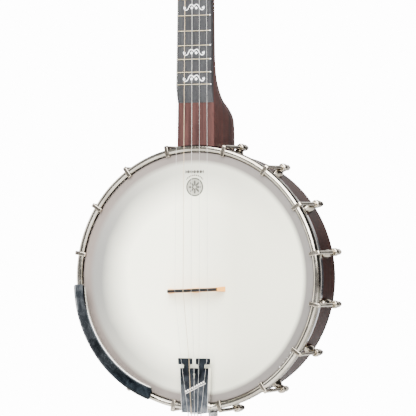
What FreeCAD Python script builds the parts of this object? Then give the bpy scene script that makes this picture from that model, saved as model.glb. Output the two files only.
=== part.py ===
"""Open-back five-string banjo with a 12 inch pot, built as an assembly of separate named pieces.

Working frame: the middle of the drum head's playing face is the zero point, +X is the treble side,
+Y runs from the head towards the player and +Z runs up the neck.  Every piece is made in that frame
and is moved once, on export, so that the row's origin lies inside the neck at the nut, where an
instrument hanger's yoke holds it.  All sizes are in millimetres and all angles in degrees.
"""

import FreeCAD
import Part
import math
import os

V = FreeCAD.Vector
AXIS_X, AXIS_Y, AXIS_Z = V(1, 0, 0), V(0, 1, 0), V(0, 0, 1)
POT_CENTRE = V(0, 0, 0)

# ---- strings and neck: driving dimensions -------------------------------------------------
SCALE_LENGTH = 666.75          # 26 1/4 inch, nut to bridge
FRET_COUNT = 17
BRIDGE_Z = -14.9
NUT_Z = BRIDGE_Z + SCALE_LENGTH
NUT_X = 7.6                    # the nut's middle lies towards the treble side of the pot's middle
NUT_WIDTH = 31.8
BOARD_FACE_Y = -9.5
BOARD_THICK = 6.0
WOOD_FACE_Y = BOARD_FACE_Y + BOARD_THICK
BOARD_END_Z = 213.0
RAMP_TOP_Z = 231.0             # the scoop's ramp starts just past the last fret
FRET_HEIGHT = 1.0
FRET_WIDTH = 1.8
TREBLE_EDGE_AT_END = 25.2
BASS_EDGE_AT_END = -22.2
BASS_EDGE_SLOPE = 0.0205
BASS_EDGE_4_SLOPE = 0.0126
SHOULDER_LOW_Z = 514.0         # the bass side steps in between these two heights
SHOULDER_HIGH_Z = 530.0
NECK_BACK_AT_NUT = 11.5
NECK_BACK_SLOPE = 0.0078
HEEL_FLARE = 54.0
HEEL_FLARE_Z = 216.5
HEEL_FLARE_ABOVE = 12.6
HEEL_FLARE_BELOW = 7.5
HEEL_BOX_TOP_Z = 218.0         # below here the heel's cross-section grows square
HEEL_BOX_SPAN = 28.0
PEGHEAD_TILT = 13.0
PEGHEAD_THICK = 13.5
OVERLAY_THICK = 1.6

# ---- pot: radii are measured from the pot's axis, depths from the head's face --------------
RIM_OUTER_R = 152.4
RIM_INNER_R = 136.4
RIM_FRONT_Y = 5.0
RIM_BACK_Y = 74.3
TONE_R = 150.7                 # middle of the round tone hoop
TONE_Y = 3.0
TONE_ROD_R = 2.0
SLEEVE_IN_R = 2.1
SLEEVE_OUT_R = 2.7
SKIRT_END_Y = 31.0
HEAD_SKIN = 0.3
COLLAR_END_Y = 11.2
FLESH_OUTER_R = 157.4
HOOP_INNER_R = 154.2
HOOP_OUTER_R = 161.0
HOOP_FRONT_Y = -4.4
HOOP_BACK_Y = 7.1
NOTCH_FLOOR_Y = -2.0
NOTCH_WIDTH = 5.4

# ---- brackets ---------------------------------------------------------------------------------
HOOK_COUNT = 16
HOOK_STEP = 360.0 / HOOK_COUNT
HOOK_SHIFT, HOOK_SHIFT_FADE = 2.4, 0.55    # the hooks beside the heel stand this much further from it
HOOK_R = 163.5                 # the hook rods' distance from the pot's axis
HOOK_ROD_R = 2.3
HOOK_BAR_WIDTH = 4.8
HOOK_TOP_Y = -4.9
SHOE_Y = 45.0
EYE_FRONT_Y = 45.0
EYE_BACK_Y = 53.5
EYE_R = 5.0
NUT_TIP_Y = 68.5
HOOK_END_Y = 64.5
NUT_FLATS = 7.2
SHOE_BOLT_R = 2.4

# ---- rods through the pot ---------------------------------------------------------------------
ROD_Y = 48.0
ROD_R = 4.75
UPPER_LAG_Y = 26.0
LAG_R = 3.2

# ---- bridge, tailpiece, armrest ----------------------------------------------------------------
BRIDGE_HEIGHT = 16.0
BRIDGE_CAP = 3.4
BRIDGE_SLANT = -2.4            # the bass end sits nearer the tailpiece
TAIL_X = 1.3                   # the tailpiece follows the strings, a little to the treble side
TAIL_TOP_Z = -97.0
TAIL_SHOULDER_Z = -109.0
TAIL_END_Z = -163.0
TAIL_FACE_Y = -12.0
TAIL_SHEET = 1.2
TAIL_FLANGE = 7.0
ARM_SHIFT, ARM_MIDDLE = 12.0, 215.0    # the armrest's arc has its own centre, this far out at this angle
ARM_START, ARM_END = 180.4, 251.7
ARM_INNER_R, ARM_OUTER_R = 133.4, 150.2
ARM_FRONT_Y = -17.5
ARM_SHEET = 1.5

STRING_R = {5: 0.15, 4: 0.30, 3: 0.21, 2: 0.17, 1: 0.15}
STRING_AT_BRIDGE = {5: -22.0, 4: -11.1, 3: -0.2, 2: 10.7, 1: 21.5}
STRING_AT_NUT = {4: NUT_X - 12.6, 3: NUT_X - 4.2, 2: NUT_X + 4.2, 1: NUT_X + 12.6}
STRING_AT_TAIL_TOP = {5: -16.0, 4: -5.4, 3: 1.2, 2: 7.8, 1: 18.2}
STRING_AT_TAIL_END = {5: -7.0, 4: -2.8, 3: 1.4, 2: 5.6, 1: 9.8}
FIFTH_STRING_SLOPE = 0.0135
STRING_Y_AT_BRIDGE = -16.0
STRING_Y_AT_NUT = -11.1
SLOT_CLEAR = 0.06

# ---- tuners: heights are counted from the peghead wood's face, along its outward normal ---------
TUNER_PLACES = {4: (-24.0, 47.0), 3: (-21.5, 108.0), 2: (21.5, 108.0), 1: (24.0, 47.0)}
POST_R = 3.0
POST_WAIST_R = 2.55
POST_TOP = 16.0
WINDING_CLEAR = 0.2
WINDING_HEIGHT = 5.6
BUSH_R = 4.4
PLANET_R = 2.15
PLANET_ORBIT = 4.3             # sun 2.15, planets 2.15, ring 6.45: the post turns once per four turns
GEAR_GAP = 0.15
CAVITY_R = 6.45
HOUSING_R = 8.4
HOUSING_DEPTH = 11.5
KNOB_GAP = 0.5
FIFTH_Z = 505.0
FIFTH_Y = 2.2
FIFTH_HOUSING_R = 5.0
FIFTH_HOUSING_DEPTH = 12.2
FIFTH_PLANET_R = 1.45
FIFTH_ORBIT = 2.9
FIFTH_CAVITY_R = 4.35
FIFTH_WINDING = 7.0
FIFTH_WAIST_R = 2.45


# ==== helpers ==================================================================================
def box(x0, x1, y0, y1, z0, z1):
    return Part.makeBox(x1 - x0, y1 - y0, z1 - z0, V(x0, y0, z0))


def rod(start, direction, radius, length):
    return Part.makeCylinder(radius, length, start, direction)


def closed_wire(edges):
    return Part.Wire(Part.__sortEdges__(edges))


def polygon_prism(points, direction):
    """Solid swept along direction from a flat closed outline of straight sides."""
    outline = Part.makePolygon([V(*p) for p in points] + [V(*points[0])])
    return Part.Face(outline).extrude(direction)


def ring(profile):
    """Solid of revolution about the pot's axis from (radius, depth) points joined by lines."""
    outline = Part.makePolygon([V(r, y, 0) for r, y in profile + profile[:1]])
    return Part.Face(outline).revolve(POT_CENTRE, AXIS_Y, 360)


def ring_of(edges):
    return Part.Face(closed_wire(edges)).revolve(POT_CENTRE, AXIS_Y, 360)


def line(r0, y0, r1, y1):
    return Part.LineSegment(V(r0, y0, 0), V(r1, y1, 0)).toShape()


def arc(r0, y0, rm, ym, r1, y1):
    return Part.Arc(V(r0, y0, 0), V(rm, ym, 0), V(r1, y1, 0)).toShape()


def turned_to(shape, angle):
    """A copy of a piece made on the pot's +X side, turned to angle, counted from +X towards +Z."""
    copy = shape.copy()
    copy.rotate(POT_CENTRE, AXIS_Y, -angle)
    return copy


def hook_angles():
    """Even steps round the pot, but the hooks stand back a little from the neck's heel."""
    angles = []
    for i in range(HOOK_COUNT // 2):
        from_heel = HOOK_STEP * (i + 0.5) + HOOK_SHIFT * HOOK_SHIFT_FADE ** i
        angles += [90 - from_heel, 90 + from_heel]
    return angles


def around_the_pot(shape):
    return Part.makeCompound([turned_to(shape, a) for a in hook_angles()])


def hexagon(start, direction, flats, height):
    """Hexagonal prism standing on start."""
    corner = flats / math.sqrt(3)
    points = [V(corner * math.cos(math.radians(60 * i)), corner * math.sin(math.radians(60 * i)), 0)
              for i in range(6)]
    prism = Part.Face(Part.makePolygon(points + points[:1])).extrude(V(0, 0, height))
    prism.Placement = FreeCAD.Placement(start, FreeCAD.Rotation(AXIS_Z, direction))
    return prism


def rounded_hexagon(start, direction, flats, height):
    """Hexagonal nut or bolt head with its outer corners turned off."""
    corner = flats / math.sqrt(3)
    blank = hexagon(start, direction, flats, height)
    turned = Part.makeCylinder(corner, height, start, direction)
    rim = [e for e in turned.Edges if abs(e.Length - 2 * math.pi * corner) < 0.01
           and (e.CenterOfMass - start).dot(direction) > height / 2]
    return blank.common(turned.makeChamfer(corner - flats / 2, rim))


def smooth_step(t):
    t = max(0.0, min(1.0, t))
    return t * t * (3 - 2 * t)


# ==== lines of the neck ========================================================================
def treble_edge(z):
    nut_edge = NUT_X + NUT_WIDTH / 2
    return TREBLE_EDGE_AT_END + (nut_edge - TREBLE_EDGE_AT_END) * (z - BOARD_END_Z) / (NUT_Z - BOARD_END_Z)


def bass_edge(z):
    wide = BASS_EDGE_AT_END + BASS_EDGE_SLOPE * (z - BOARD_END_Z)
    narrow = NUT_X - NUT_WIDTH / 2 - BASS_EDGE_4_SLOPE * (NUT_Z - z)
    t = smooth_step((z - SHOULDER_LOW_Z) / (SHOULDER_HIGH_Z - SHOULDER_LOW_Z))
    return wide + (narrow - wide) * t


def heel_share(z):
    """0 on the neck's shaft, 1 in the heel."""
    spread = HEEL_FLARE_ABOVE if z > HEEL_FLARE_Z else HEEL_FLARE_BELOW
    return 1 / (1 + math.exp((z - HEEL_FLARE_Z) / spread))


def neck_back(z):
    shaft = NECK_BACK_AT_NUT + NECK_BACK_SLOPE * (NUT_Z - z)
    return min(shaft + HEEL_FLARE * heel_share(z), RIM_BACK_Y - 1.0)


def fret_z(number):
    return BRIDGE_Z + SCALE_LENGTH * 2 ** (-number / 12.0)


def string_x(number, z):
    """Sideways place of a string at height z, between the bridge and its nut."""
    if number == 5:
        return STRING_AT_BRIDGE[5] + FIFTH_STRING_SLOPE * (z - BRIDGE_Z)
    t = (z - BRIDGE_Z) / SCALE_LENGTH
    return STRING_AT_BRIDGE[number] * (1 - t) + STRING_AT_NUT[number] * t


# ==== pot ======================================================================================
def make_rim():
    chamfer = 1.5
    wood = ring([(RIM_INNER_R, RIM_FRONT_Y), (RIM_OUTER_R, RIM_FRONT_Y), (RIM_OUTER_R, RIM_BACK_Y - chamfer),
                 (RIM_OUTER_R - chamfer, RIM_BACK_Y), (RIM_INNER_R + chamfer, RIM_BACK_Y),
                 (RIM_INNER_R, RIM_BACK_Y - chamfer)])
    wall = RIM_OUTER_R - RIM_INNER_R + 10
    bolt_hole = rod(V(RIM_INNER_R - 5, SHOE_Y, 0), AXIS_X, SHOE_BOLT_R + 0.1, wall)
    through = rod(V(RIM_INNER_R - 5, ROD_Y, 0), AXIS_X, LAG_R + 0.1, wall)
    upper = rod(V(RIM_INNER_R - 5, UPPER_LAG_Y, 0), AXIS_X, LAG_R + 0.1, wall)
    holes = [turned_to(bolt_hole, a) for a in hook_angles()]
    holes += [turned_to(through, 90), turned_to(through, 270), turned_to(upper, 90)]
    return wood.cut(holes)


def make_tone_rod():
    torus = Part.makeTorus(TONE_R, TONE_ROD_R, V(0, TONE_Y, 0), AXIS_Y)
    return torus


def crown_arc(radius):
    """Quarter-and-quarter arc over the tone hoop, from its outer side to its inner side."""
    return arc(TONE_R + radius, TONE_Y, TONE_R, TONE_Y - radius, TONE_R - radius, TONE_Y)


def make_tone_sleeve():
    outer, inner = SLEEVE_OUT_R, SLEEVE_IN_R
    sleeve = ring_of([
        line(TONE_R + outer, SKIRT_END_Y, TONE_R + outer, TONE_Y), crown_arc(outer),
        line(TONE_R - outer, TONE_Y, TONE_R - outer, RIM_FRONT_Y),
        line(TONE_R - outer, RIM_FRONT_Y, TONE_R - inner, RIM_FRONT_Y),
        line(TONE_R - inner, RIM_FRONT_Y, TONE_R - inner, TONE_Y), crown_arc(inner),
        line(TONE_R + inner, TONE_Y, TONE_R + inner, SKIRT_END_Y),
        line(TONE_R + inner, SKIRT_END_Y, TONE_R + outer, SKIRT_END_Y)])
    return sleeve.cut(rod(V(0, UPPER_LAG_Y, TONE_R - 10), AXIS_Z, LAG_R + 0.1, 20))


def make_head():
    """Plastic head: flat playing face, crown over the tone hoop and a collar down to the flesh hoop."""
    inner = SLEEVE_OUT_R
    outer = inner + HEAD_SKIN
    bend = math.sqrt(0.5)
    return ring_of([
        line(0, 0, TONE_R, 0),
        arc(TONE_R, 0, TONE_R + outer * bend, TONE_Y - outer * bend, TONE_R + outer, TONE_Y),
        line(TONE_R + outer, TONE_Y, TONE_R + outer, COLLAR_END_Y),
        line(TONE_R + outer, COLLAR_END_Y, TONE_R + inner, COLLAR_END_Y),
        line(TONE_R + inner, COLLAR_END_Y, TONE_R + inner, TONE_Y),
        arc(TONE_R + inner, TONE_Y, TONE_R + inner * bend, TONE_Y - inner * bend, TONE_R, TONE_Y - inner),
        line(TONE_R, TONE_Y - inner, 0, HEAD_SKIN),
        line(0, HEAD_SKIN, 0, 0)])


def make_flesh_hoop():
    inner = TONE_R + SLEEVE_OUT_R + HEAD_SKIN
    return ring([(inner, HOOP_BACK_Y), (FLESH_OUTER_R, HOOP_BACK_Y), (FLESH_OUTER_R, COLLAR_END_Y),
                 (inner, COLLAR_END_Y)])


def make_tension_hoop():
    """Notched hoop: a broad chamfer inside, a stepped outer side and a notch for each hook."""
    ease = 1.0
    step_y = HOOP_FRONT_Y + 6.2
    hoop = ring([(HOOP_INNER_R, HOOP_FRONT_Y + 1.5 * ease), (HOOP_INNER_R + 1.3 * ease, HOOP_FRONT_Y),
                 (HOOP_OUTER_R - ease, HOOP_FRONT_Y), (HOOP_OUTER_R - ease * 0.6, HOOP_FRONT_Y + ease * 0.4),
                 (HOOP_OUTER_R - ease * 0.5, step_y), (HOOP_OUTER_R, step_y + 0.8),
                 (HOOP_OUTER_R, HOOP_BACK_Y - ease), (HOOP_OUTER_R - ease, HOOP_BACK_Y),
                 (HOOP_INNER_R, HOOP_BACK_Y)])
    notch = box(HOOP_INNER_R - 2, HOOP_OUTER_R + 2, HOOP_FRONT_Y - 1, NOTCH_FLOOR_Y,
                -NOTCH_WIDTH / 2, NOTCH_WIDTH / 2)
    return hoop.cut([turned_to(notch, a) for a in hook_angles()])


# ==== brackets: sixteen of each ================================================================
def make_hook():
    """Flat hook: its bar lies in the hoop's notch and bends back into a round rod outside the hoop."""
    half = HOOK_BAR_WIDTH / 2
    tip_inner, outer = HOOP_INNER_R - 3.0, HOOK_R + HOOK_ROD_R
    bar = box(tip_inner, outer, HOOK_TOP_Y, NOTCH_FLOOR_Y, -half, half)
    bend = [e for e in bar.Edges if e.BoundBox.XMin > outer - 0.01 and e.BoundBox.YMax < HOOK_TOP_Y + 0.01]
    bar = bar.makeFillet(2.6, bend)
    tip = box(tip_inner, HOOP_INNER_R - 0.2, HOOK_TOP_Y, -1.0, -half, half)
    shank = rod(V(HOOK_R, NOTCH_FLOOR_Y - 1, 0), AXIS_Y, HOOK_ROD_R, HOOK_END_Y - NOTCH_FLOOR_Y + 1)
    hook = bar.fuse([tip, shank]).removeSplitter()
    front = [e for e in hook.Edges if e.BoundBox.YMax < HOOK_TOP_Y + 0.01 and e.BoundBox.XMin < HOOK_R - 2]
    return hook.makeFillet(0.8, front)


def make_shoe():
    """Teardrop casting: a dome bolted to the rim that carries an eye for the hook's rod."""
    dome = Part.makeSphere(1.0)
    stretch = FreeCAD.Matrix()
    stretch.A11, stretch.A22, stretch.A33 = 9.2, 12.0, 5.6
    dome = dome.transformGeometry(stretch)
    dome.translate(V(RIM_OUTER_R, SHOE_Y, 0))
    dome = dome.common(box(RIM_OUTER_R, RIM_OUTER_R + 20, SHOE_Y - 20, SHOE_Y + 20, -10, 10))
    eye = rod(V(HOOK_R, EYE_FRONT_Y, 0), AXIS_Y, EYE_R, EYE_BACK_Y - EYE_FRONT_Y)
    ends = [e for e in eye.Edges if abs(e.Length - 2 * math.pi * EYE_R) < 0.01]
    eye = eye.makeFillet(1.6, ends)
    web = box(RIM_OUTER_R + 2, HOOK_R, EYE_FRONT_Y - 2.5, EYE_BACK_Y - 2.0, -3.4, 3.4)
    shoe = dome.fuse([eye, web])
    rod_hole = rod(V(HOOK_R, SHOE_Y - 20, 0), AXIS_Y, HOOK_ROD_R + 0.15, 60)
    bolt_hole = rod(V(RIM_OUTER_R - 1, SHOE_Y, 0), AXIS_X, SHOE_BOLT_R, 5.2)
    return shoe.cut([rod_hole, bolt_hole])


def make_hook_nut():
    length = NUT_TIP_Y - EYE_BACK_Y
    body_end = EYE_BACK_Y + length * 0.62
    seat = V(HOOK_R, EYE_BACK_Y, 0)
    nut = rounded_hexagon(seat, AXIS_Y, NUT_FLATS, body_end - EYE_BACK_Y)
    tip_r = NUT_FLATS * 0.43
    neck = rod(V(HOOK_R, body_end - 1, 0), AXIS_Y, tip_r, NUT_TIP_Y - tip_r - body_end + 1)
    cap = Part.makeSphere(tip_r, V(HOOK_R, NUT_TIP_Y - tip_r, 0))
    bore = rod(seat, AXIS_Y, HOOK_ROD_R + 0.05, 12.0)
    return nut.fuse([neck, cap]).removeSplitter().cut(bore)


def make_shoe_bolt():
    """Hexagonal bolt with a washer face, through the rim and into the shoe."""
    seat = RIM_INNER_R - 0.3
    flange = rod(V(seat, SHOE_Y, 0), V(-1, 0, 0), 5.2, 1.2)
    head = rounded_hexagon(V(seat - 1.0, SHOE_Y, 0), V(-1, 0, 0), 8.0, 3.6)
    shank = rod(V(seat, SHOE_Y, 0), AXIS_X, SHOE_BOLT_R, RIM_OUTER_R + 4.0 - seat)
    return head.fuse([flange, shank]).removeSplitter()


# ==== rods that tie the neck and the tail to the pot ==============================================
ROD_END_Z = 118.0
ROD_BORE = 12.0
LAG_TIP_Z = 186.0
UPPER_LAG_TIP_Z = 182.0


def make_coordinator_rod():
    """Rod across the pot with a bore at each end for the bolt that meets it."""
    bar = rod(V(0, ROD_Y, -ROD_END_Z), AXIS_Z, ROD_R, 2 * ROD_END_Z)
    bores = [rod(V(0, ROD_Y, z), AXIS_Z, LAG_R, ROD_BORE) for z in (-ROD_END_Z, ROD_END_Z - ROD_BORE)]
    return bar.cut(bores)


def make_neck_lag_bolts():
    lower_start, upper_start = ROD_END_Z - ROD_BORE, ROD_END_Z + 8.0
    lower = rod(V(0, ROD_Y, lower_start), AXIS_Z, LAG_R, LAG_TIP_Z - lower_start)
    upper = rod(V(0, UPPER_LAG_Y, upper_start), AXIS_Z, LAG_R, UPPER_LAG_TIP_Z - upper_start)
    return Part.makeCompound([lower, upper])


def make_rod_nuts():
    """Nuts on the lag bolts and the end bolt inside the rim, and one outside the hanger's strap."""
    seat = math.sqrt(RIM_INNER_R ** 2 - 7.0 ** 2) - 0.2
    places = [(ROD_Y, seat, -1), (UPPER_LAG_Y, seat, -1), (ROD_Y, -seat, 1),
              (ROD_Y, STRAP_Z - STRAP_THICK, -1)]
    nuts = []
    for y, z, sign in places:
        blank = rounded_hexagon(V(0, y, z), V(0, 0, sign), 11.0, 5.5)
        nuts.append(blank.cut(rod(V(0, y, z - 8), AXIS_Z, LAG_R, 16)))
    return Part.makeCompound(nuts)


STRAP_Z = -163.6
STRAP_THICK = 1.6


def make_end_bolt():
    tip = STRAP_Z - STRAP_THICK - 6.5
    return rod(V(0, ROD_Y, tip), AXIS_Z, LAG_R, ROD_BORE - ROD_END_Z - tip)


def make_end_spacer():
    outer = rod(V(0, ROD_Y, STRAP_Z), AXIS_Z, 6.5, -RIM_OUTER_R - 0.2 - STRAP_Z)
    return outer.cut(rod(V(0, ROD_Y, STRAP_Z - 1), AXIS_Z, LAG_R + 0.1, 20))


# ==== bridge =====================================================================================
def bridge_turned(shape):
    shape.rotate(V(0, 0, BRIDGE_Z), AXIS_Y, BRIDGE_SLANT)
    return shape


def wedge_section(half_low, half_high, y_low, y_high, x0, x1):
    """Prism along X whose thickness shrinks from y_low to y_high."""
    points = [(x0, y_low, BRIDGE_Z - half_low), (x0, y_low, BRIDGE_Z + half_low),
              (x0, y_high, BRIDGE_Z + half_high), (x0, y_high, BRIDGE_Z - half_high)]
    return polygon_prism(points, V(x1 - x0, 0, 0))


def make_bridge_base():
    """Maple base: three feet, two arches, and ends that lean in towards the cap."""
    top_y = -(BRIDGE_HEIGHT - BRIDGE_CAP)
    foot_half, top_half, deep = 38.0, 32.6, 20.0
    body = wedge_section(3.1, 2.0, 0.0, top_y, -foot_half, foot_half)
    outline = polygon_prism([(-foot_half, 0, BRIDGE_Z - deep / 2), (foot_half, 0, BRIDGE_Z - deep / 2),
                             (foot_half - 0.6, -2.5, BRIDGE_Z - deep / 2),
                             (top_half, top_y, BRIDGE_Z - deep / 2), (-top_half, top_y, BRIDGE_Z - deep / 2),
                             (-foot_half + 0.6, -2.5, BRIDGE_Z - deep / 2)], V(0, 0, deep))
    body = body.common(outline)
    arch_rise, arch_half = 8.2, 14.5
    arches = []
    for side in (-1, 1):
        arch = Part.makeCylinder(1.0, deep, V(0, 0, -deep / 2), AXIS_Z)
        stretch = FreeCAD.Matrix()
        stretch.A11, stretch.A22 = arch_half, arch_rise
        arch = arch.transformGeometry(stretch)
        arch.translate(V(side * 18.0, 0, BRIDGE_Z))
        arches.append(arch)
    return bridge_turned(body.cut(arches))


def make_bridge_cap():
    base_y = -(BRIDGE_HEIGHT - BRIDGE_CAP)
    cap = bridge_turned(wedge_section(2.0, 1.6, base_y, -BRIDGE_HEIGHT - 0.35, -32.4, 32.4))
    slots = []
    for number, x in STRING_AT_BRIDGE.items():
        half = STRING_R[number] + SLOT_CLEAR
        slots.append(box(x - half, x + half, -BRIDGE_HEIGHT - 1, -BRIDGE_HEIGHT + half + 0.05,
                         BRIDGE_Z - 6, BRIDGE_Z + 6))
    return cap.cut(slots)


# ==== tailpiece ====================================================================================
SCREW_Z = -146.0
KEYHOLE_Z = -116.5


def tail_screw(clearance):
    """Countersunk screw that holds the tailpiece on its hanger."""
    top = V(TAIL_X, TAIL_FACE_Y, SCREW_Z)
    head = Part.makeCone(3.0 + clearance, 1.5 + clearance, TAIL_SHEET, top, AXIS_Y)
    shank = rod(top + AXIS_Y * (TAIL_SHEET - 0.1), AXIS_Y, 1.5 + clearance, 5.0)
    return head.fuse(shank).removeSplitter()


def make_tailpiece():
    """Pressed sheet with side flanges; two T-shaped fingers hold the strings down at its front end."""
    top, shoulder, end, face = TAIL_TOP_Z, TAIL_SHOULDER_Z, TAIL_END_Z, TAIL_FACE_Y
    half = [(0, shoulder), (5.4, shoulder), (5.4, top - 7.6), (2.3, top - 7.6), (2.3, top), (21.4, top),
            (21.4, top - 7.6), (13.6, top - 7.6), (13.6, shoulder), (19.4, shoulder), (17.4, end), (0, end)]
    outline = half + [(-x, z) for x, z in reversed(half[1:-1])]
    sheet = polygon_prism([(x, face, z) for x, z in outline], V(0, TAIL_SHEET, 0))
    corners = [e for e in sheet.Edges if e.BoundBox.YLength > TAIL_SHEET - 0.01
               and e.BoundBox.ZMin > shoulder + 0.5]
    sheet = sheet.makeFillet(1.3, corners)
    flanges = []
    for side in (-1, 1):
        section = [(side * 19.4, face, shoulder), (side * 17.4, face, end),
                   (side * 16.2, face, end), (side * 18.2, face, shoulder)]
        flanges.append(polygon_prism(section, V(0, TAIL_FLANGE, 0)))
    piece = sheet.fuse(flanges).removeSplitter()
    long_edges = [e for e in piece.Edges if e.BoundBox.ZLength > 40 and e.BoundBox.YMax < face + 0.01]
    piece = piece.makeFillet(1.0, long_edges)
    keyhole = rod(V(0, face - 1, KEYHOLE_Z), AXIS_Y, 1.6, 4)
    keyhole = keyhole.fuse(box(-0.9, 0.9, face - 1, face + 3, KEYHOLE_Z - 5, KEYHOLE_Z))
    piece = piece.cut(keyhole)
    piece.translate(V(TAIL_X, 0, 0))
    return piece.cut(tail_screw(0.03))


def make_tailpiece_pins():
    """Five ball-ended pegs on the tailpiece's end that the strings' loops hook over."""
    pins = []
    middle_y = TAIL_FACE_Y + TAIL_SHEET / 2
    for x in STRING_AT_TAIL_END.values():
        pin = rod(V(x, middle_y, TAIL_END_Z), V(0, 0, -1), TAIL_SHEET / 2, 3.6)
        pins.append(pin.fuse(Part.makeSphere(0.95, V(x, middle_y, TAIL_END_Z - 3.6))))
    return Part.makeCompound(pins)


def make_tailpiece_hanger():
    """Bent strap: from the end bolt, outside the hoop, to a seat under the tailpiece."""
    half, seat_y = 5.5, TAIL_FACE_Y + TAIL_SHEET
    strap = box(-half, half, seat_y, ROD_Y + 7.5, STRAP_Z - STRAP_THICK, STRAP_Z)
    seat = box(-half, half, seat_y, seat_y + STRAP_THICK, STRAP_Z - STRAP_THICK, -138.0)
    hanger = strap.fuse(seat).removeSplitter()
    bend = [e for e in hanger.Edges
            if abs(e.BoundBox.YMin - seat_y) < 0.01 and abs(e.BoundBox.ZMin - (STRAP_Z - STRAP_THICK)) < 0.01
            and e.BoundBox.XLength > 10]
    hanger = hanger.makeFillet(1.5, bend)
    bolt_hole = rod(V(0, ROD_Y, STRAP_Z - 5), AXIS_Z, LAG_R + 0.1, 10)
    return hanger.cut([bolt_hole, tail_screw(0.03)])


# ==== armrest =======================================================================================
def make_armrest():
    """Rolled strip that stands in front of the hoop on the bass side, with rounded ends."""
    s, f = ARM_SHEET, ARM_FRONT_Y
    profile = [(ARM_INNER_R, f + 3.4), (ARM_INNER_R + 0.5, f + 1.2), (ARM_INNER_R + 2.2, f),
               (ARM_OUTER_R - 4.0, f + 0.5), (ARM_OUTER_R - 1.2, f + 2.0), (ARM_OUTER_R, f + 4.6),
               (ARM_OUTER_R - s, f + 4.6), (ARM_OUTER_R - 2.4, f + 3.0), (ARM_OUTER_R - 4.6, f + 2.0),
               (ARM_INNER_R + 2.6, f + s), (ARM_INNER_R + s + 0.5, f + 2.2), (ARM_INNER_R + s, f + 3.4)]
    outline = Part.makePolygon([V(r, y, 0) for r, y in profile + profile[:1]])
    strip = Part.Face(outline).revolve(POT_CENTRE, V(0, -1, 0), ARM_END - ARM_START)
    strip = turned_to(strip, ARM_START)
    r = 5.5
    for angle, side in ((ARM_START, 1), (ARM_END, -1)):
        for corner_r, inward in ((ARM_INNER_R, 1), (ARM_OUTER_R, -1)):
            x0, x1 = sorted((corner_r - inward * 2, corner_r + inward * r))
            z0, z1 = sorted((-side * 1.0, side * r))
            corner = box(x0, x1, f - 2, f + 8, z0, z1)
            keep = rod(V(corner_r + inward * r, f - 3, side * r), AXIS_Y, r, 12)
            strip = strip.cut(turned_to(corner.cut(keep), angle))
    strip.translate(turned_to(Part.Vertex(ARM_SHIFT, 0, 0), ARM_MIDDLE).Point)
    return strip


ARM_LEG_ANGLES = (202.5, 225.0)
ARM_LEG_R = HOOP_OUTER_R + 0.2
ARM_LEG_THICK = 1.6
ARM_SCREW_Y = 43.0


def make_armrest_legs(strip):
    """Two flat legs under the strip; each runs back outside the hoop and is screwed to the rim."""
    legs = []
    bar_y = ARM_FRONT_Y + 7.0
    outer = ARM_LEG_R + ARM_LEG_THICK
    for angle in ARM_LEG_ANGLES:
        bar = box(149.0, outer, bar_y, bar_y + ARM_LEG_THICK, -4, 4)
        boss = rod(V(151.8, ARM_FRONT_Y + 0.8, 0), AXIS_Y, 2.4, bar_y - ARM_FRONT_Y)
        shank = box(ARM_LEG_R, outer, bar_y, 36.0, -4, 4)
        step = box(RIM_OUTER_R, outer, 36.0 - ARM_LEG_THICK, 36.0, -4, 4)
        pad = box(RIM_OUTER_R, RIM_OUTER_R + ARM_LEG_THICK, 36.0 - ARM_LEG_THICK, 50.0, -4, 4)
        pad = pad.cut(Part.makeCylinder(RIM_OUTER_R, 80, V(0, 0, 0), AXIS_Y))
        leg = bar.fuse([boss, shank, step.cut(Part.makeCylinder(RIM_OUTER_R, 80, V(0, 0, 0), AXIS_Y)), pad])
        leg = leg.removeSplitter().cut(rod(V(RIM_INNER_R, ARM_SCREW_Y, 0), AXIS_X, 1.7, 30))
        legs.append(turned_to(leg, angle).cut(strip))
    return Part.makeCompound(legs)


def make_armrest_screws():
    screws = []
    for angle in ARM_LEG_ANGLES:
        seat = RIM_OUTER_R + ARM_LEG_THICK
        head = rod(V(seat, ARM_SCREW_Y, 0), AXIS_X, 3.2, 1.5)
        head = head.makeFillet(0.7, [e for e in head.Edges if e.BoundBox.XMin > seat + 1.4])
        shank = rod(V(seat - 10, ARM_SCREW_Y, 0), AXIS_X, 1.6, 10.2)
        slot = box(seat + 0.9, seat + 3, ARM_SCREW_Y - 4, ARM_SCREW_Y + 4, -0.35, 0.35)
        screws.append(turned_to(head.fuse(shank).removeSplitter().cut(slot), angle))
    return Part.makeCompound(screws)


# ==== neck ==========================================================================================
PEG_ORIGIN = V(NUT_X, WOOD_FACE_Y, NUT_Z + 5.0)
PEG_UP = V(0, math.sin(math.radians(PEGHEAD_TILT)), math.cos(math.radians(PEGHEAD_TILT)))
PEG_OUT = V(0, -math.cos(math.radians(PEGHEAD_TILT)), math.sin(math.radians(PEGHEAD_TILT)))
PEG_HALF = [(16.4, 0.0), (17.6, 7.0), (23.5, 18.0), (32.5, 33.0), (35.0, 50.0), (31.5, 68.0), (29.2, 84.0),
            (31.4, 100.0), (32.6, 114.0), (28.0, 128.0), (18.5, 134.5), (11.5, 139.0), (7.0, 146.5)]


def peg_point(across, along, out):
    return PEG_ORIGIN + V(across, 0, 0) + PEG_UP * along + PEG_OUT * out


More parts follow.
